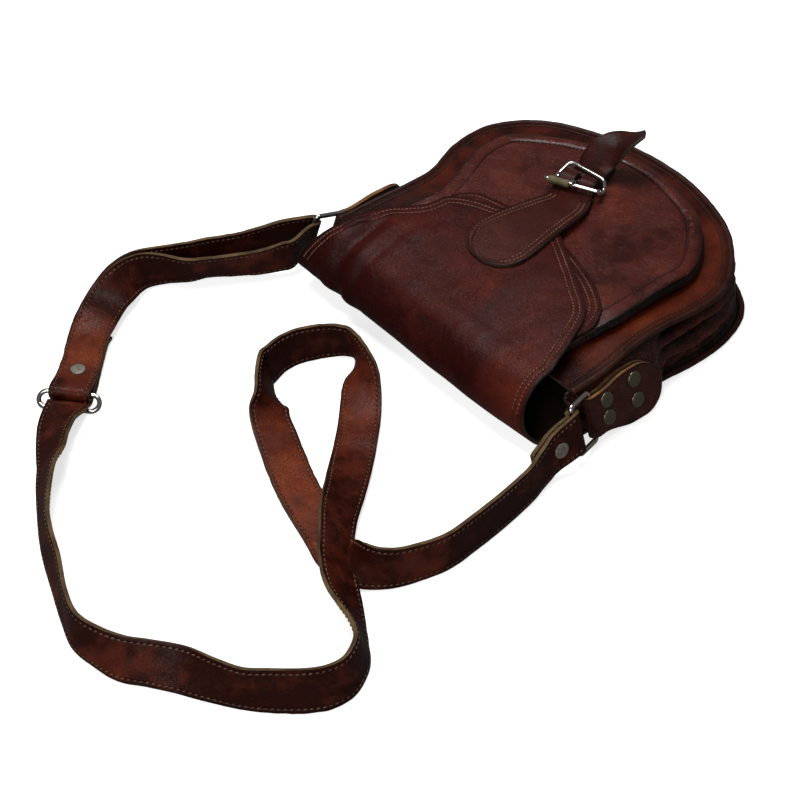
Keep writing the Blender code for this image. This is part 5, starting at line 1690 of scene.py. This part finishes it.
    def inset_point(self, rows: Sequence[Path], index: int, side: int,
                    inset: float) -> tuple[Vector | None, Vector]:
        """Point on the flap's middle surface at a distance from its free edge.

        Args:
            rows: The flap's grid of places.
            index: Row that the edge point is on.
            side: 0 for the left end of the rows, 1 for the right.
            inset: Distance from the edge.

        Returns:
            The point, or None where the flap is too narrow, and the surface normal.
        """
        row = rows[index] if side == 0 else rows[index][::-1]
        before = rows[index - 1][0 if side == 0 else -1]
        after = rows[index + 1][0 if side == 0 else -1]
        along = (after - before).normalized()
        across = (row[6] - row[0]).normalized()
        normal = along.cross(across).normalized()
        if normal.z < 0 and row[0].z > 0.04:
            normal.negate()
        if row[0].z <= 0.04 and normal.y > 0:
            normal.negate()
        inward = along.cross(normal).normalized()
        if inward.dot(across) < 0:
            inward.negate()
        if (row[-1] - row[0]).length < inset * 5:
            return None, normal
        return row[0] + inward * inset, normal

    def build_underlay(self) -> None:
        """Wider layer under the flap's edge, with its own two stitch rows."""
        edge = resample(self.edge(UNDERLAY_EDGE_SHARES), 170)

        def height(x: float, down: float) -> float:
            return FORM.flap_under(x, down) - FORM.gap

        sheet = fan_sheet("flap_underlayer", edge, 30, (0.010, FORM.flap_length * 0.7), height,
                          (0.0, 0.001, 0.0025, 0.0045, 0.007), 12)
        piece = sheet.piece(self.underlay_leather, lined(Finish.FLAP), Drawn.OUTER)
        seated(piece, "flap", "leather_dark", "flap_underlay")
        for inset in self.seam_rows:
            path, ups = surface_path(inset_line(edge, inset)[6:-6], height)
            SEWING.row("underlayer_stitches", "flap", Finish.PALE_THREAD, path, ups, self.pitch)


@dataclass
class Billet:
    """Teardrop patch that runs into the tongue through the buckle."""

    leather: float = 0.0024
    slot_half: Plan = (0.0021, 0.0063)
    slot_shift: float = 0.0009
    bare_from: float = 0.150
    rows: Plan = (0.0030, 0.0062)

    def line(self) -> list[Station]:
        """Stations of the patch and tongue."""
        result = []
        for x, down, height, half, turn, roll in smooth_points(BILLET_ROUTE, 8):
            angle, slope = radians(turn), radians(roll)
            if down < FORM.flap_length:
                height = FORM.flap_under(x, down) + FORM.leather + FORM.gap + self.leather / 2
            way = Vector((cos(angle) * cos(slope), sin(angle) * cos(slope), sin(slope)))
            result.append((FORM.point(x, down, height), way, half))
        return result

    def build(self) -> None:
        """The billet and its stitches."""
        line = self.line()
        bar, axis, travel = BUCKLE.frame()
        middle = bar - travel * self.slot_shift

        def in_slot(spot: Vector) -> bool:
            away = spot - middle
            near = abs(away.dot(axis)) < self.slot_half[0] and abs(away.dot(travel)) < self.slot_half[1]
            return near and abs(away.z) < 0.012

        tints = []
        for place, _, _ in line:
            wear = 0.2 * ease((FORM.down(place) - 0.165) / 0.01)
            tints.append(0.5 + 0.25 * noise.noise(place * 40.0) - wear)
        sheet = ribbon("teardrop_billet", line, 25, UP, tints, in_slot)
        marks = zip(sheet.places, sheet.border)
        bare = [FORM.down(p) > self.bare_from and gap > 0.0016 for p, gap in marks]
        sheet.border = [0.02 if plain else gap for gap, plain in zip(sheet.border, bare)]
        coat = (Finish.BILLET, Finish.ROUGH_SIDE, Finish.DARK_EDGE)
        seated(sheet.piece(self.leather, coat), "flap", "leather_red", "closure_billet")
        self.stitch(line)

    def stitch(self, line: Run) -> None:
        """Two rows round the teardrop and down both edges of the tongue."""
        flat = [s for s in line if FORM.down(s[0]) < 0.146]
        right = [s[0] + s[1] * s[2] for s in flat]
        left = [s[0] - s[1] * s[2] for s in flat]
        outline = [(p.x, FORM.down(p), p.z) for p in left[::-1] + right]
        outline = resample(outline, 300)
        normals = plan_normals(outline)
        for inset in self.rows:
            path = []
            for (x, down, height), normal in list(zip(outline, normals))[4:-4]:
                across, along = x + normal[0] * inset, down + normal[1] * inset
                path.append(FORM.point(across, along, height + self.leather / 2))
            SEWING.row("billet_stitches", "flap", Finish.PALE_THREAD, path, [UP] * len(path), FLAP.pitch)


@dataclass
class Buckle:
    """Wire buckle with its sleeve, prong and the folded strip that holds it."""

    wire_radius: float = 0.0015
    bar_height: float = 0.0680
    bow: float = 0.0030
    corner: float = 0.0034
    roller_length: float = 0.0155
    roller_radius: float = 0.0026
    roller_start: float = 0.0034
    prong_width: float = 0.0030
    prong_thickness: float = 0.0015
    prong_length: float = 0.0130
    chape_width: float = 0.0200
    chape_leather: float = 0.0015
    chape_length: float = 0.0340
    clearance: float = 0.00035

    def frame(self) -> Triple:
        """Middle of the hidden bar, its axis, and the way from the near to the far bar."""
        near_left, near_right, far_right, far_left = BUCKLE_CORNERS
        left = [(a + b) / 2 for a, b in zip(near_left, far_left)]
        right = [(a + b) / 2 for a, b in zip(near_right, far_right)]
        x, down = [(a + b) / 2 for a, b in zip(left, right)]
        loop = self.wire_radius + self.clearance + self.chape_leather
        height = FORM.pocket_over(x, down) + FORM.gap + FORM.seam_inset / 2 + loop
        axis = (FORM.point(*right, height) - FORM.point(*left, height)).normalized()
        return FORM.point(x, down, height), axis, UP.cross(axis)

    def build(self) -> None:
        """Every piece of the buckle."""
        place, axis, travel = self.frame()
        corners = [FORM.point(*corner, self.bar_height) for corner in BUCKLE_CORNERS]
        self.build_wire(corners, place, axis, travel)
        near = (corners[1] - corners[0]).normalized()
        start = corners[0] + near * self.roller_start
        inner, outer, long = self.wire_radius + self.clearance, self.roller_radius, self.roller_length
        lip = 0.0003
        profile = [(inner, 0.0), (outer - lip, 0.0), (outer, lip)]
        profile += [(outer + 0.0002 * sin(k * 0.9), lip + (long - 2 * lip) * k / 9) for k in range(1, 9)]
        profile += [(outer, long - lip), (outer - lip, long), (inner, long)]
        roller = lathe("sleeve", profile, start, near, Finish.SLEEVE, closed=True)
        seated(roller, "roller", "aged_brass", "buckle_roller")
        self.build_prong(place, axis, travel)
        self.build_chape(place, axis, travel)

    def build_wire(self, corners: Path, place: Vector, axis: Vector, travel: Vector) -> None:
        """Outer loop whose sides dip to the hidden bar, with that bar."""
        near_left, near_right, far_right, far_left = corners
        half = (near_right - near_left).length / 2 + (far_right - far_left).length / 2
        left, right = place - axis * (half / 2), place + axis * (half / 2)
        dip = travel * self.bow
        bend = self.bow * 0.7
        spots = [near_left, near_right, right - dip, right + dip, far_right, far_left, left + dip, left - dip]
        radii = [self.corner] * 2 + [bend] * 2 + [self.corner] * 2 + [bend] * 2
        loop = wire("buckle_wire", rounded_loop(spots, radii, 7), self.wire_radius, Finish.NICKEL, True)
        bar = wire("buckle_bar", [left, right], self.wire_radius * 0.97, Finish.NICKEL, False)
        work = bmesh.new()
        for part in (loop, bar):
            work.from_mesh(part.data)
        work.to_mesh(loop.data)
        work.free()
        bpy.data.objects.remove(bar)
        loop.data.shade_smooth()
        seated(loop, "buckle", "nickel_wire", "buckle_frame")

    def build_prong(self, place: Vector, axis: Vector, travel: Vector) -> None:
        """Flat prong curled round the hidden bar, that rests on the near bar."""
        radius = self.wire_radius + self.clearance + self.prong_thickness / 2
        keys = []
        for step in range(25):
            angle = radians(232 + step * 10)
            keys.append(place + (travel * cos(angle) + UP * sin(angle)) * radius)
        rise = self.bar_height + self.wire_radius + FORM.gap + self.prong_thickness / 2 - place.z
        for away, lift in ((0.42, 0.72), (0.62, 0.93), (0.80, 1.03), (1.0, 0.98)):
            keys.append(place - travel * (self.prong_length * away) + UP * (rise * lift))
        half = self.prong_width / 2
        line = [(k, axis, half * (1.0 if n < len(keys) - 1 else 0.7)) for n, k in enumerate(keys)]
        sheet = ribbon("prong", line, 5, line[1][0] - place)
        for label in ("border", "tint"):
            setattr(sheet, label, [0.01] * len(sheet.places))
        piece = sheet.piece(self.prong_thickness, (Finish.NICKEL,) * 3, edge=0.35)
        seated(piece, "prong", "nickel_wire", "buckle_prong")

    def build_chape(self, place: Vector, axis: Vector, travel: Vector) -> None:
        """Strip folded round the hidden bar, with both leaves on the pocket."""
        radius = self.wire_radius + self.clearance + self.chape_leather / 2
        half = self.chape_width / 2
        lower: list[Station] = []
        upper: list[Station] = []
        for step in range(13):
            share = step / 12
            for leaf, base, length in ((lower, 0, self.chape_length), (upper, 1, self.chape_length * 0.82)):
                spot = place + travel * (radius + (length - radius) * share)
                floor = FORM.pocket_over(spot.x, FORM.down(spot)) + FORM.gap + FORM.seam_inset / 2
                settled = floor + self.chape_leather / 2 + base * (self.chape_leather + FORM.gap)
                start = place.z + (2 * base - 1) * radius
                spot.z = start + (settled - start) * ease(share * 5)
                leaf.append((spot, axis, half))
        bend = []
        for step in range(0, 17):
            angle = pi * step / 16
            bend.append((place + (-travel * sin(angle) - UP * cos(angle)) * radius, axis, half))

        def in_slot(spot: Vector) -> bool:
            away = spot - place
            return abs(away.dot(axis)) < 0.0021 and abs(away.dot(travel)) < 0.0041

        line = lower[::-1] + bend + upper
        sheet = ribbon("chape", line, 21, -UP, (), in_slot)
        piece = sheet.piece(self.chape_leather, lined(Finish.SIDE))
        seated(piece, "bag", "leather_dark", "buckle_chape")


def rounded_loop(corners: Path, radii: Sequence[float], steps: int) -> list[Vector]:
    """Closed loop of corners with a round bend at each.

    Args:
        corners: The loop's corners.
        radii: Setback of each bend from its corner.
        steps: Spans of each bend.

    Returns:
        Points of the loop.
    """
    result = []
    count = len(corners)
    for index, (corner, radius) in enumerate(zip(corners, radii)):
        before = (corners[index - 1] - corner).normalized() * radius
        after = (corners[(index + 1) % count] - corner).normalized() * radius
        for step in range(steps + 1):
            t = step / steps
            result.append(corner + before * (1 - t) ** 2 + after * t ** 2)
    return result


@dataclass
class RingTabs:
    """Tabs at both ends, folded round their rings and riveted to the side wall."""

    leather: float = 0.0024
    spacing: float = 0.00255
    length: float = 0.0570
    half_width: float = 0.0182
    neck: float = 0.0138
    lean: float = radians(20)
    middle: float = 0.0025
    reach: float = 0.1270
    rod_down: float = 0.0390
    rod_height: float = 0.0212
    wall_start: float = 0.0340
    wall_end: float = 0.1000
    wall_blend: float = 0.0200
    wire_radius: float = 0.00175
    clearance: float = 0.0004
    ring_length: float = 0.0210
    ring_half_height: float = 0.01675
    ring_corner: float = 0.0032
    ring_swing: float = radians(17)
    gusset_leather: float = 0.0018
    rivet_radius: float = 0.0052
    rivet_head: float = 0.0016

    def frame(self, side: int) -> Triple:
        """Middle of a tab's rod, its outward normal and its width direction."""
        normal = Vector((side * cos(self.lean), 0, sin(self.lean)))
        width = Vector((-side * sin(self.lean), 0, cos(self.lean)))
        return FORM.point(self.middle + side * self.reach, self.rod_down, self.rod_height), normal, width

    def ring_frame(self, side: int) -> tuple[Vector, Vector]:
        """Strap rod of a ring and the way from the tab's rod to it."""
        rod, normal, _ = self.frame(side)
        travel = normal * sin(self.ring_swing) - Vector((0, 1, 0)) * cos(self.ring_swing)
        return rod + travel * self.ring_length, travel

    def zone(self, down: float) -> float:
        """Share of the side wall's flat zone behind a tab."""
        rise = ease((down - self.wall_start) / (self.wall_blend * 0.4))
        return rise * ease((self.wall_end + self.wall_blend - down) / self.wall_blend)

    def wall_shift(self, spot: Vector, share: float) -> float:
        """How far the side wall leaves its own bulge to lie flat behind a tab."""
        edge = min(ease(share / 0.20), ease((1 - share) / 0.13))
        side = 1 if spot.x > 0 else -1
        rod, normal, _ = self.frame(side)
        level = rod.dot(normal) - (self.spacing + self.leather / 2 + FORM.gap)
        wall = side * (level - spot.z * sin(self.lean)) / cos(self.lean)
        return (wall - spot.x) * edge

    def spread(self, along: float) -> float:
        """Half width of a tab: a neck at the ring, wider below it, with a round end."""
        wide = self.neck + (self.half_width - self.neck) * ease((along - 0.006) / 0.024)
        end = (along - (self.length - self.half_width)) / self.half_width
        return wide * sqrt(max(1 - (end * 0.985) ** 2, 0)) if end > 0 else wide

    def build(self) -> None:
        """Both tabs, their rivets and their rings."""
        heads: list[Triple] = []
        for side in Side:
            heads += self.build_tab(side)
            self.build_ring(side)
        unit = lathe("rivet_unit", self.rivet_profile(), Vector(), UP, Finish.BRASS, count=24)
        piece = COPIES.set("tab_rivets", heads, unit, Finish.BRASS, 0.03, 5)
        bpy.data.objects.remove(unit)
        piece.data.set_sharp_from_angle(angle=radians(55))
        nodes = [f"tab_rivet_{side.label}_{n}" for side in Side for n in range(1, 5)]
        seated(piece, "bag", "aged_brass", *nodes)

    def rivet_profile(self) -> list[Plan]:
        """Head, shank and burr of a rivet, by radius and height over the leather."""
        radius, head, gap = self.rivet_radius, self.rivet_head, FORM.gap
        back = -(self.spacing * 2 + self.leather + self.gusset_leather + gap * 2)
        burr, shank, seat = 0.0036, 0.0014, gap * 0.3
        stem = [(0.0030, back - 0.0010), (burr, back - 0.0005), (burr, back), (shank, back), (shank, seat)]
        dome = ((1, 0.22), (0.98, 0.42), (0.92, 0.58), (0.80, 0.68), (0.55, 0.74), (0.25, 0.77),
                (0.05, 0.78))
        return stem + [(radius * 0.97, seat)] + [(radius * wide, head * high) for wide, high in dome]

    def build_tab(self, side: Side) -> list[Triple]:
        """One tab, and the places of its rivets.

        Args:
            side: End of the bag.

        Returns:
            Place, way and outward direction of each rivet.
        """
        rod, normal, width = self.frame(side.value)
        bend = self.wire_radius + self.clearance + self.leather / 2
        away = Vector((0, 1, 0))
        leaf = []
        for step in range(33):
            along = self.length * (1 - (1 - cos(pi / 2 * (1 - step / 32))))
            leaf.append((along, self.spread(along)))
        line: list[Station] = []
        for along, half in leaf[::-1]:
            offset = self.spacing + (bend - self.spacing) * (1 - ease(along / (bend * 2)))
            line.append((rod + away * along - normal * offset, width, half))
        for step in range(1, 16):
            angle = pi * step / 16
            line.append((rod + (-away * sin(angle) - normal * cos(angle)) * bend, width, self.neck))
        for along, half in leaf:
            offset = self.spacing + (bend - self.spacing) * (1 - ease(along / (bend * 2)))
            curl = 0.0006 * ease((along - self.length * 0.6) / (self.length * 0.4))
            line.append((rod + away * along + normal * (offset + curl), width, half))
        tints = [0.5 + 0.25 * noise.noise(p * 60.0) for p, _, _ in line]
        sheet = ribbon(f"ring_tab_{side.label}", line, 17, -normal, tints)
        coat = (Finish.TAB, Finish.ROUGH_SIDE, Finish.TAB_EDGE)
        seated(sheet.piece(self.leather, coat), "bag", "leather_tab", f"tab_{side.label}")
        spots = []
        for down, along in TAB_RIVETS:
            spot = rod + away * (down - self.rod_down) + width * along
            spots.append((spot + normal * (self.spacing + self.leather / 2), away, normal))
        return spots

    def build_ring(self, side: Side) -> None:
        """Rectangular wire ring between a tab and the strap."""
        rod, _, width = self.frame(side.value)
        strap_rod, _ = self.ring_frame(side.value)
        edge = width * self.ring_half_height
        corners = [rod - edge, rod + edge, strap_rod + edge, strap_rod - edge]
        loop = rounded_loop(corners, [self.ring_corner] * 4, 8)
        piece = wire(f"strap_ring_{side.label}", loop, self.wire_radius, Finish.NICKEL, True)
        seated(piece, f"ring_{side.label}", "nickel_wire", f"ring_{side.label}")


@dataclass
class Strap:
    """Shoulder strap, its return run through the slider, and their rivets."""

    width: float = 0.0270
    leather: float = 0.0026
    rivet_reach: float = 0.0170
    fold_gap: float = 0.0010
    slider_middle: Plan = (-0.1066, -0.1961)
    slider_turn: float = radians(42)
    slider_half: float = 0.0200
    slider_radius: float = 0.0016
    slider_spacing: float = 0.0108
    seam_inset: float = 0.0026

    @property
    def layer(self) -> float:
        """Height from one layer of strap to the next."""
        return self.leather + FORM.gap

    @property
    def ground(self) -> float:
        """Height of a flat strap's middle over the ground."""
        return self.leather / 2 + FORM.gap

    def route(self, table: Line, steps: int) -> list[Station]:
        """Stations of a strap that lies on the ground by its roll and lift."""
        half = self.width / 2
        keys = smooth_points(table, steps)
        last = len(keys) - 1
        line = []
        for index, (x, down, roll, lift) in enumerate(keys):
            angle = radians(roll)
            height = half * abs(sin(angle)) + self.leather / 2 * abs(cos(angle)) + lift + FORM.gap
            ahead, behind = keys[min(index + 1, last)], keys[max(index - 1, 0)]
            travel = Vector((ahead[0] - behind[0], ahead[1] - behind[1], 0)).normalized()
            width = UP.cross(travel) * cos(angle) + UP * sin(angle)
            line.append((FORM.point(x, down, height), width, half))
        return line

    def bridge(self, start: Vector, start_way: Vector, end: Vector, end_way: Vector,
               widths: tuple[Vector, Vector], steps: int) -> list[Station]:
        """Stations between two ends, along a curve that meets both directions."""
        reach = (end - start).length
        line = []
        for step in range(1, steps):
            t = step / steps
            a, b = (1 - t) ** 2 * (1 + 2 * t), t * (1 - t) ** 2 * reach
            c, d = t * t * (3 - 2 * t), -t * t * (1 - t) * reach
            spot = start * a + start_way * b + end * c + end_way * d
            line.append((spot, widths[0].lerp(widths[1], t).normalized(), self.width / 2))
        return line

    def arc(self, centre: Vector, ways: tuple[Vector, Vector], width: Vector, radius: float,
            span: Plan, steps: int) -> list[Station]:
        """Stations round a rod, from one direction toward another."""
        line = []
        for step in range(steps + 1):
            angle = radians(span[0] + (span[1] - span[0]) * step / steps)
            spot = centre + (ways[0] * cos(angle) + ways[1] * sin(angle)) * radius
            line.append((spot, width, self.width / 2))
        return line

    def ground_way(self, line: Run, index: int) -> Vector:
        """Direction of a line at one of its ends."""
        step = 1 if index == 0 else -1
        return ((line[index + step][0] - line[index][0]) * step).normalized()

    def slider_frame(self) -> tuple[Vector, Vector, Vector, Vector]:
        """Middle of the slider's low rod and high rod, and the rods' direction."""
        axis = Vector((cos(self.slider_turn), sin(self.slider_turn), 0))
        travel = Vector((-axis.y, axis.x, 0))
        bend = self.slider_radius + TABS.clearance + self.leather / 2
        low_height, high_height = self.slider_radius, self.ground + self.layer + bend
        run = sqrt(self.slider_spacing ** 2 - (high_height - low_height) ** 2)
        middle = FORM.point(*self.slider_middle, 0)
        half = travel * (run / 2)
        return middle - half + UP * low_height, middle + half + UP * high_height, axis, travel

    def build(self) -> tuple[Piece, Run, Piece, Run, Piece, Piece]:
        """Strap, return run, slider and the two strap rivets.

        Returns:
            The strap and its line, the return run and its line, the slider and the rivets.
        """
        bend = TABS.wire_radius + TABS.clearance + self.leather / 2
        lie = self.route(STRAP_ROUTE, 8)
        rod, way = TABS.ring_frame(1)
        width = TABS.frame(1)[2]
        outer = way.cross(width) * -1
        entry = self.bridge(rod + outer * bend, way, lie[0][0], self.ground_way(lie, 0),
                            (width, lie[0][1]), 12)
        turn = self.arc(rod, (-outer, -way), width, bend, (0, 180), 16)
        main = entry + lie[:10]
        folded = []
        places = [station[0] for station in main]
        for index, (place, across, half) in enumerate(main):
            normal = travel_at(places, index).cross(across).normalized() * -1
            folded.append((place - normal * (self.leather + self.fold_gap), across, half))
        left_rod, left_way = TABS.ring_frame(-1)
        left_width = TABS.frame(-1)[2] * -1
        left_outer = left_width.cross(left_way)
        end = left_rod + left_outer * bend
        leave = self.bridge(lie[-1][0], self.ground_way(lie, -1), end, -left_way,
                            (lie[-1][1], left_width), 10)
        trim = degrees(FORM.gap * 2 / bend)
        quarter = self.arc(left_rod, (left_outer, -left_way), left_width, bend, (0, 90 - trim), 8)
        line = folded[:0:-1] + turn + entry + lie + leave + quarter
        back_line, seat = self.return_line(left_rod, left_way, -left_width, left_outer, bend, trim)
        strap = self.cut("shoulder_strap", line)
        returned = self.cut("strap_return_run", back_line)
        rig.replaces(strap, "strap")
        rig.replaces(returned, "strap_return")
        self.stitch("strap_stitches", line, len(folded) + 16)
        self.stitch("return_stitches", back_line, 10)
        slider = self.build_slider()
        rivets = self.build_rivets(main, folded, seat)
        return (strap, line, returned, back_line, slider, rivets)

    def return_line(self, rod: Vector, way: Vector, width: Vector, outer: Vector, bend: float,
                    trim: float) -> tuple[list[Station], Vector]:
        """Stations of the run from the left ring round the slider's high rod, and its rivet's place."""
        back = self.route(RETURN_ROUTE, 8)
        quarter = self.arc(rod, (-way, -outer), width, bend, (trim, 90), 8)
        begin = rod - outer * bend
        enter = self.bridge(begin, way, back[0][0], self.ground_way(back, 0), (width, back[0][1]), 10)
        _, high, axis, travel = self.slider_frame()
        loop = self.slider_radius + TABS.clearance + self.leather / 2
        rod_width = axis * (1 if back[-1][1].dot(axis) > 0 else -1)
        widths = (back[-1][1], rod_width)
        reach = self.bridge(back[-1][0], self.ground_way(back, -1), high + UP * loop, -travel, widths, 10)
        wrap = self.arc(high, (UP, -travel), rod_width, loop, (0, 180), 16)
        under = []
        for place, across, half in (back + reach)[::-1][:30]:
            under.append((Vector((place.x, place.y, self.ground + self.layer)), across, half))
        return quarter + enter + back + reach + wrap + under[1:], back[-4][0]

    def cut(self, name: str, line: Run) -> Piece:
        """Strap along stations, with painted shade where it stands on edge, lighter where it lies flat, and random
        mottling.
        """
        tints = []
        for place, width, _ in line:
            shade_by_tilt = abs(width.z)
            speckle = 0.34 * noise.noise(place * 17.0) + 0.12 * noise.noise(place * 55.0)
            # Painted shade: the strap darkens where its width stands up from the ground.
            tints.append(0.60 - 0.38 * shade_by_tilt + speckle)
        sheet = ribbon(name, line, 15, line[0][1].cross(line[1][0] - line[0][0]), tints)
        for place in sheet.places:
            handled = 0.4 + ease(noise.noise(place * 15.0 + Vector((2.0, 0, 0))) * 3)
            place += noise.noise_vector(place * 190.0) * (0.00026 * handled)
        piece = sheet.piece(self.leather, (Finish.STRAP, Finish.STRAP_BACK, Finish.CUT_EDGE))
        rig.ride(piece, "bag")
        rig.slot(piece, "leather_strap")
        LOG.info("%s: %d faces", name, len(piece.data.polygons))
        return piece

    def stitch(self, name: str, line: Run, first: int) -> None:
        """Stitch rows near both edges of a strap, on both of its faces."""
        for side, half in ((s, f * self.leather / 2) for s in (-1, 1) for f in (-1, 1)):
            path, ups = [], []
            for index in range(first, len(line) - 2):
                place, width, wide = line[index]
                travel = (line[index + 1][0] - line[index - 1][0]).normalized()
                across = (width - travel * width.dot(travel)).normalized()
                normal = across.cross(travel)
                path.append(place + across * ((wide - self.seam_inset) * side) + normal * half)
                ups.append(normal * copysign(1, half))
            SEWING.row(name, "bag", Finish.STRAP_THREAD, path, ups, 0.0036)

    def build_slider(self) -> Piece:
        """Long oval wire loop that the strap passes through."""
        low, high, axis, _ = self.slider_frame()
        middle, up = (low + high) / 2, (high - low) / 2
        straight = self.slider_half - up.length
        loop = []
        for side in (1, -1):
            for step in range(17):
                angle = pi * step / 16
                spot = axis * (straight + up.length * sin(angle)) - up * cos(angle)
                loop.append(middle + spot * side)
        piece = wire("slider_wire", loop, self.slider_radius, Finish.NICKEL, True)
        return seated(piece, "slider", "nickel_wire", "slider")

    def build_rivets(self, main: Run, folded: Run, seat: Vector) -> Piece:
        """Rivet through the fold at the right ring, and the one behind the slider."""
        rod = TABS.ring_frame(1)[0]
        reach = [abs((spot[0] - rod).length - self.rivet_reach) for spot in main]
        index = reach.index(min(reach))
        outer, inner = main[index][0], folded[index][0]
        normal = (outer - inner).normalized()
        face = outer + normal * (self.leather / 2 + FORM.gap)
        spot = seat + UP * (self.leather / 2)
        unit = lathe("strap_rivet_unit", TABS.rivet_profile()[5:], Vector(), UP, Finish.BRASS, count=24)
        points = [(face, main[index][1], normal), (spot, Vector((1, 0, 0)), UP)]
        piece = COPIES.set("strap_rivets", points, unit, Finish.STRAP_CAP, 0.02, 9)
        bpy.data.objects.remove(unit)
        return seated(piece, "bag", "aged_brass", "strap_end_rivet", "slider_rivet")

    def declare_cord(self, run: Piece, line: Run, *others: Piece) -> None:
        """Say what a run of the strap is: its length, width, ends and the pieces that go with it."""
        path = [tuple(s[0]) for s in line]
        length = sum(dist(a, b) for a, b in zip(path, path[1:]))
        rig.cord(run, exit=path[0], length=round(length, 3), diameter=self.width, far_end="object",
                stiffness="medium", lay="loose", path=path, with_pieces=list(others))


BODY = SewnBody()
POCKET = FrontPocket()
FLAP = Flap()
BILLET = Billet()
BUCKLE = Buckle()
TABS = RingTabs()
STRAP = Strap()


# ---- studio


@dataclass
class Studio:
    """Pale floor, plain soft light and the camera at the photograph's angle."""

    eye: Place = (0.7215, -0.7315, 0.8155)
    aim: Place = (0.0240, -0.1538, 0.0)
    lit: Place = (0.0, -0.05, 0.03)
    lens: float = 85.0
    floor_size: float = 6.0
    ambient: float = 0.12
    mirrored: float = 0.09
    floor_glow: float = 0.70

    def build_camera(self) -> None:
        """Camera at the photograph's angle and framing."""
        data = bpy.data.cameras.new("camera")
        data.lens = self.lens
        data.sensor_width = 36.0
        data.clip_start = 0.05
        camera = keep("camera", data)
        camera.location = self.eye
        way = Vector(self.aim) - Vector(self.eye)
        camera.rotation_euler = way.to_track_quat("-Z", "Y").to_euler()
        bpy.context.scene.camera = camera

    def build_lamp(self, name: str, place: Place, size: float, power: float) -> None:
        """Soft square lamp aimed at the bag."""
        data = bpy.data.lights.new(name, "AREA")
        data.shape = "SQUARE"
        data.size = size
        data.energy = power
        lamp = keep(name, data)
        lamp.location = place
        lamp.rotation_euler = (Vector(self.lit) - Vector(place)).to_track_quat("-Z", "Y").to_euler()

    def build_floor(self) -> None:
        """Floor that is white to the camera and keeps the bag's soft shadow."""
        half = self.floor_size / 2
        mesh = bpy.data.meshes.new("studio_floor")
        corners = [(-half, -half, 0.0), (half, -half, 0.0), (half, half, 0.0), (-half, half, 0.0)]
        mesh.from_pydata(corners, [], [(0, 1, 2, 3)])
        floor = keep("studio_floor", mesh)
        s = Sketch("studio_floor")
        s.shader.inputs["Base Color"].default_value = (0.86, 0.86, 0.86, 1.0)
        s.shader.inputs["Roughness"].default_value = 0.9
        path = s.add("LightPath")
        seen = s.maths("MAXIMUM", path.outputs["Is Camera Ray"], path.outputs["Is Transmission Ray"])
        seen = s.times(seen, self.floor_glow)
        glow = s.add("Emission", inputs={"Color": (1.0, 1.0, 1.0, 1.0), "Strength": seen})
        both = s.add("AddShader")
        s.feed(both.inputs[0], s.shader.outputs[0])
        s.feed(both.inputs[1], glow.outputs[0])
        dim = s.add("Emission", inputs={"Color": (1.0, 1.0, 1.0, 1.0), "Strength": self.mirrored})
        ways = {0: path.outputs["Is Glossy Ray"], 1: both.outputs[0], 2: dim.outputs[0]}
        either = s.add("MixShader", inputs=ways)
        s.feed(s.tree.nodes["Material Output"].inputs["Surface"], either.outputs[0])
        mesh.materials.append(s.material)
        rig.stage(floor)

    def build_world(self) -> None:
        """White to the camera, and an even grey light on the bag."""
        world = bpy.data.worlds.new("studio_world")
        bpy.context.scene.world = world
        s = Sketch("studio_world", world)
        path = s.add("LightPath")
        strength: object = self.ambient
        rays = {"Is Camera Ray": 1.0, "Is Transmission Ray": 1.0, "Is Glossy Ray": self.mirrored}
        for ray, share in rays.items():
            strength = s.maths("MAXIMUM", strength, s.times(path.outputs[ray], share))
        s.feed(s.shader.inputs["Strength"], strength)
        s.shader.inputs["Color"].default_value = (1.0, 1.0, 1.0, 1.0)

    def build(self) -> None:
        """Camera, floor, world and lamps."""
        self.build_camera()
        self.build_floor()
        self.build_world()
        self.build_lamp("key", (-0.42, -0.10, 1.66), 0.9, 26.0)
        self.build_lamp("fill", (0.62, -1.40, 0.95), 0.9, 11.0)
        scene = bpy.context.scene
        scene.view_settings.view_transform = "Standard"


def main() -> None:
    """Build the studio and every sub-assembly in order, and report them."""
    logging.basicConfig(level=logging.INFO, format="%(name)s %(message)s")
    noise.seed_set(FOLD_SEED)
    STUDIO.build()
    BODY.build_front()
    BODY.build_gusset()
    BODY.build_back()
    POCKET.build()
    FLAP.build()
    BUCKLE.build()
    TABS.build()
    strap, line, returned, back_line, slider, rivets = STRAP.build()
    stitches = SEWING.finish(COPIES)
    STRAP.declare_cord(strap, line, stitches["strap_stitches"], rivets)
    STRAP.declare_cord(returned, back_line, stitches["return_stitches"], slider)
    ends = {"cad": MODEL_BOX, "visual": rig.bounds()}
    boxes = {name: [list(corner) for corner in box] for name, box in ends.items()}
    with open("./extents.json", "w", encoding="utf-8") as sizes:
        json.dump(boxes, sizes)


STUDIO = Studio()


if __name__ == "__main__":
    main()
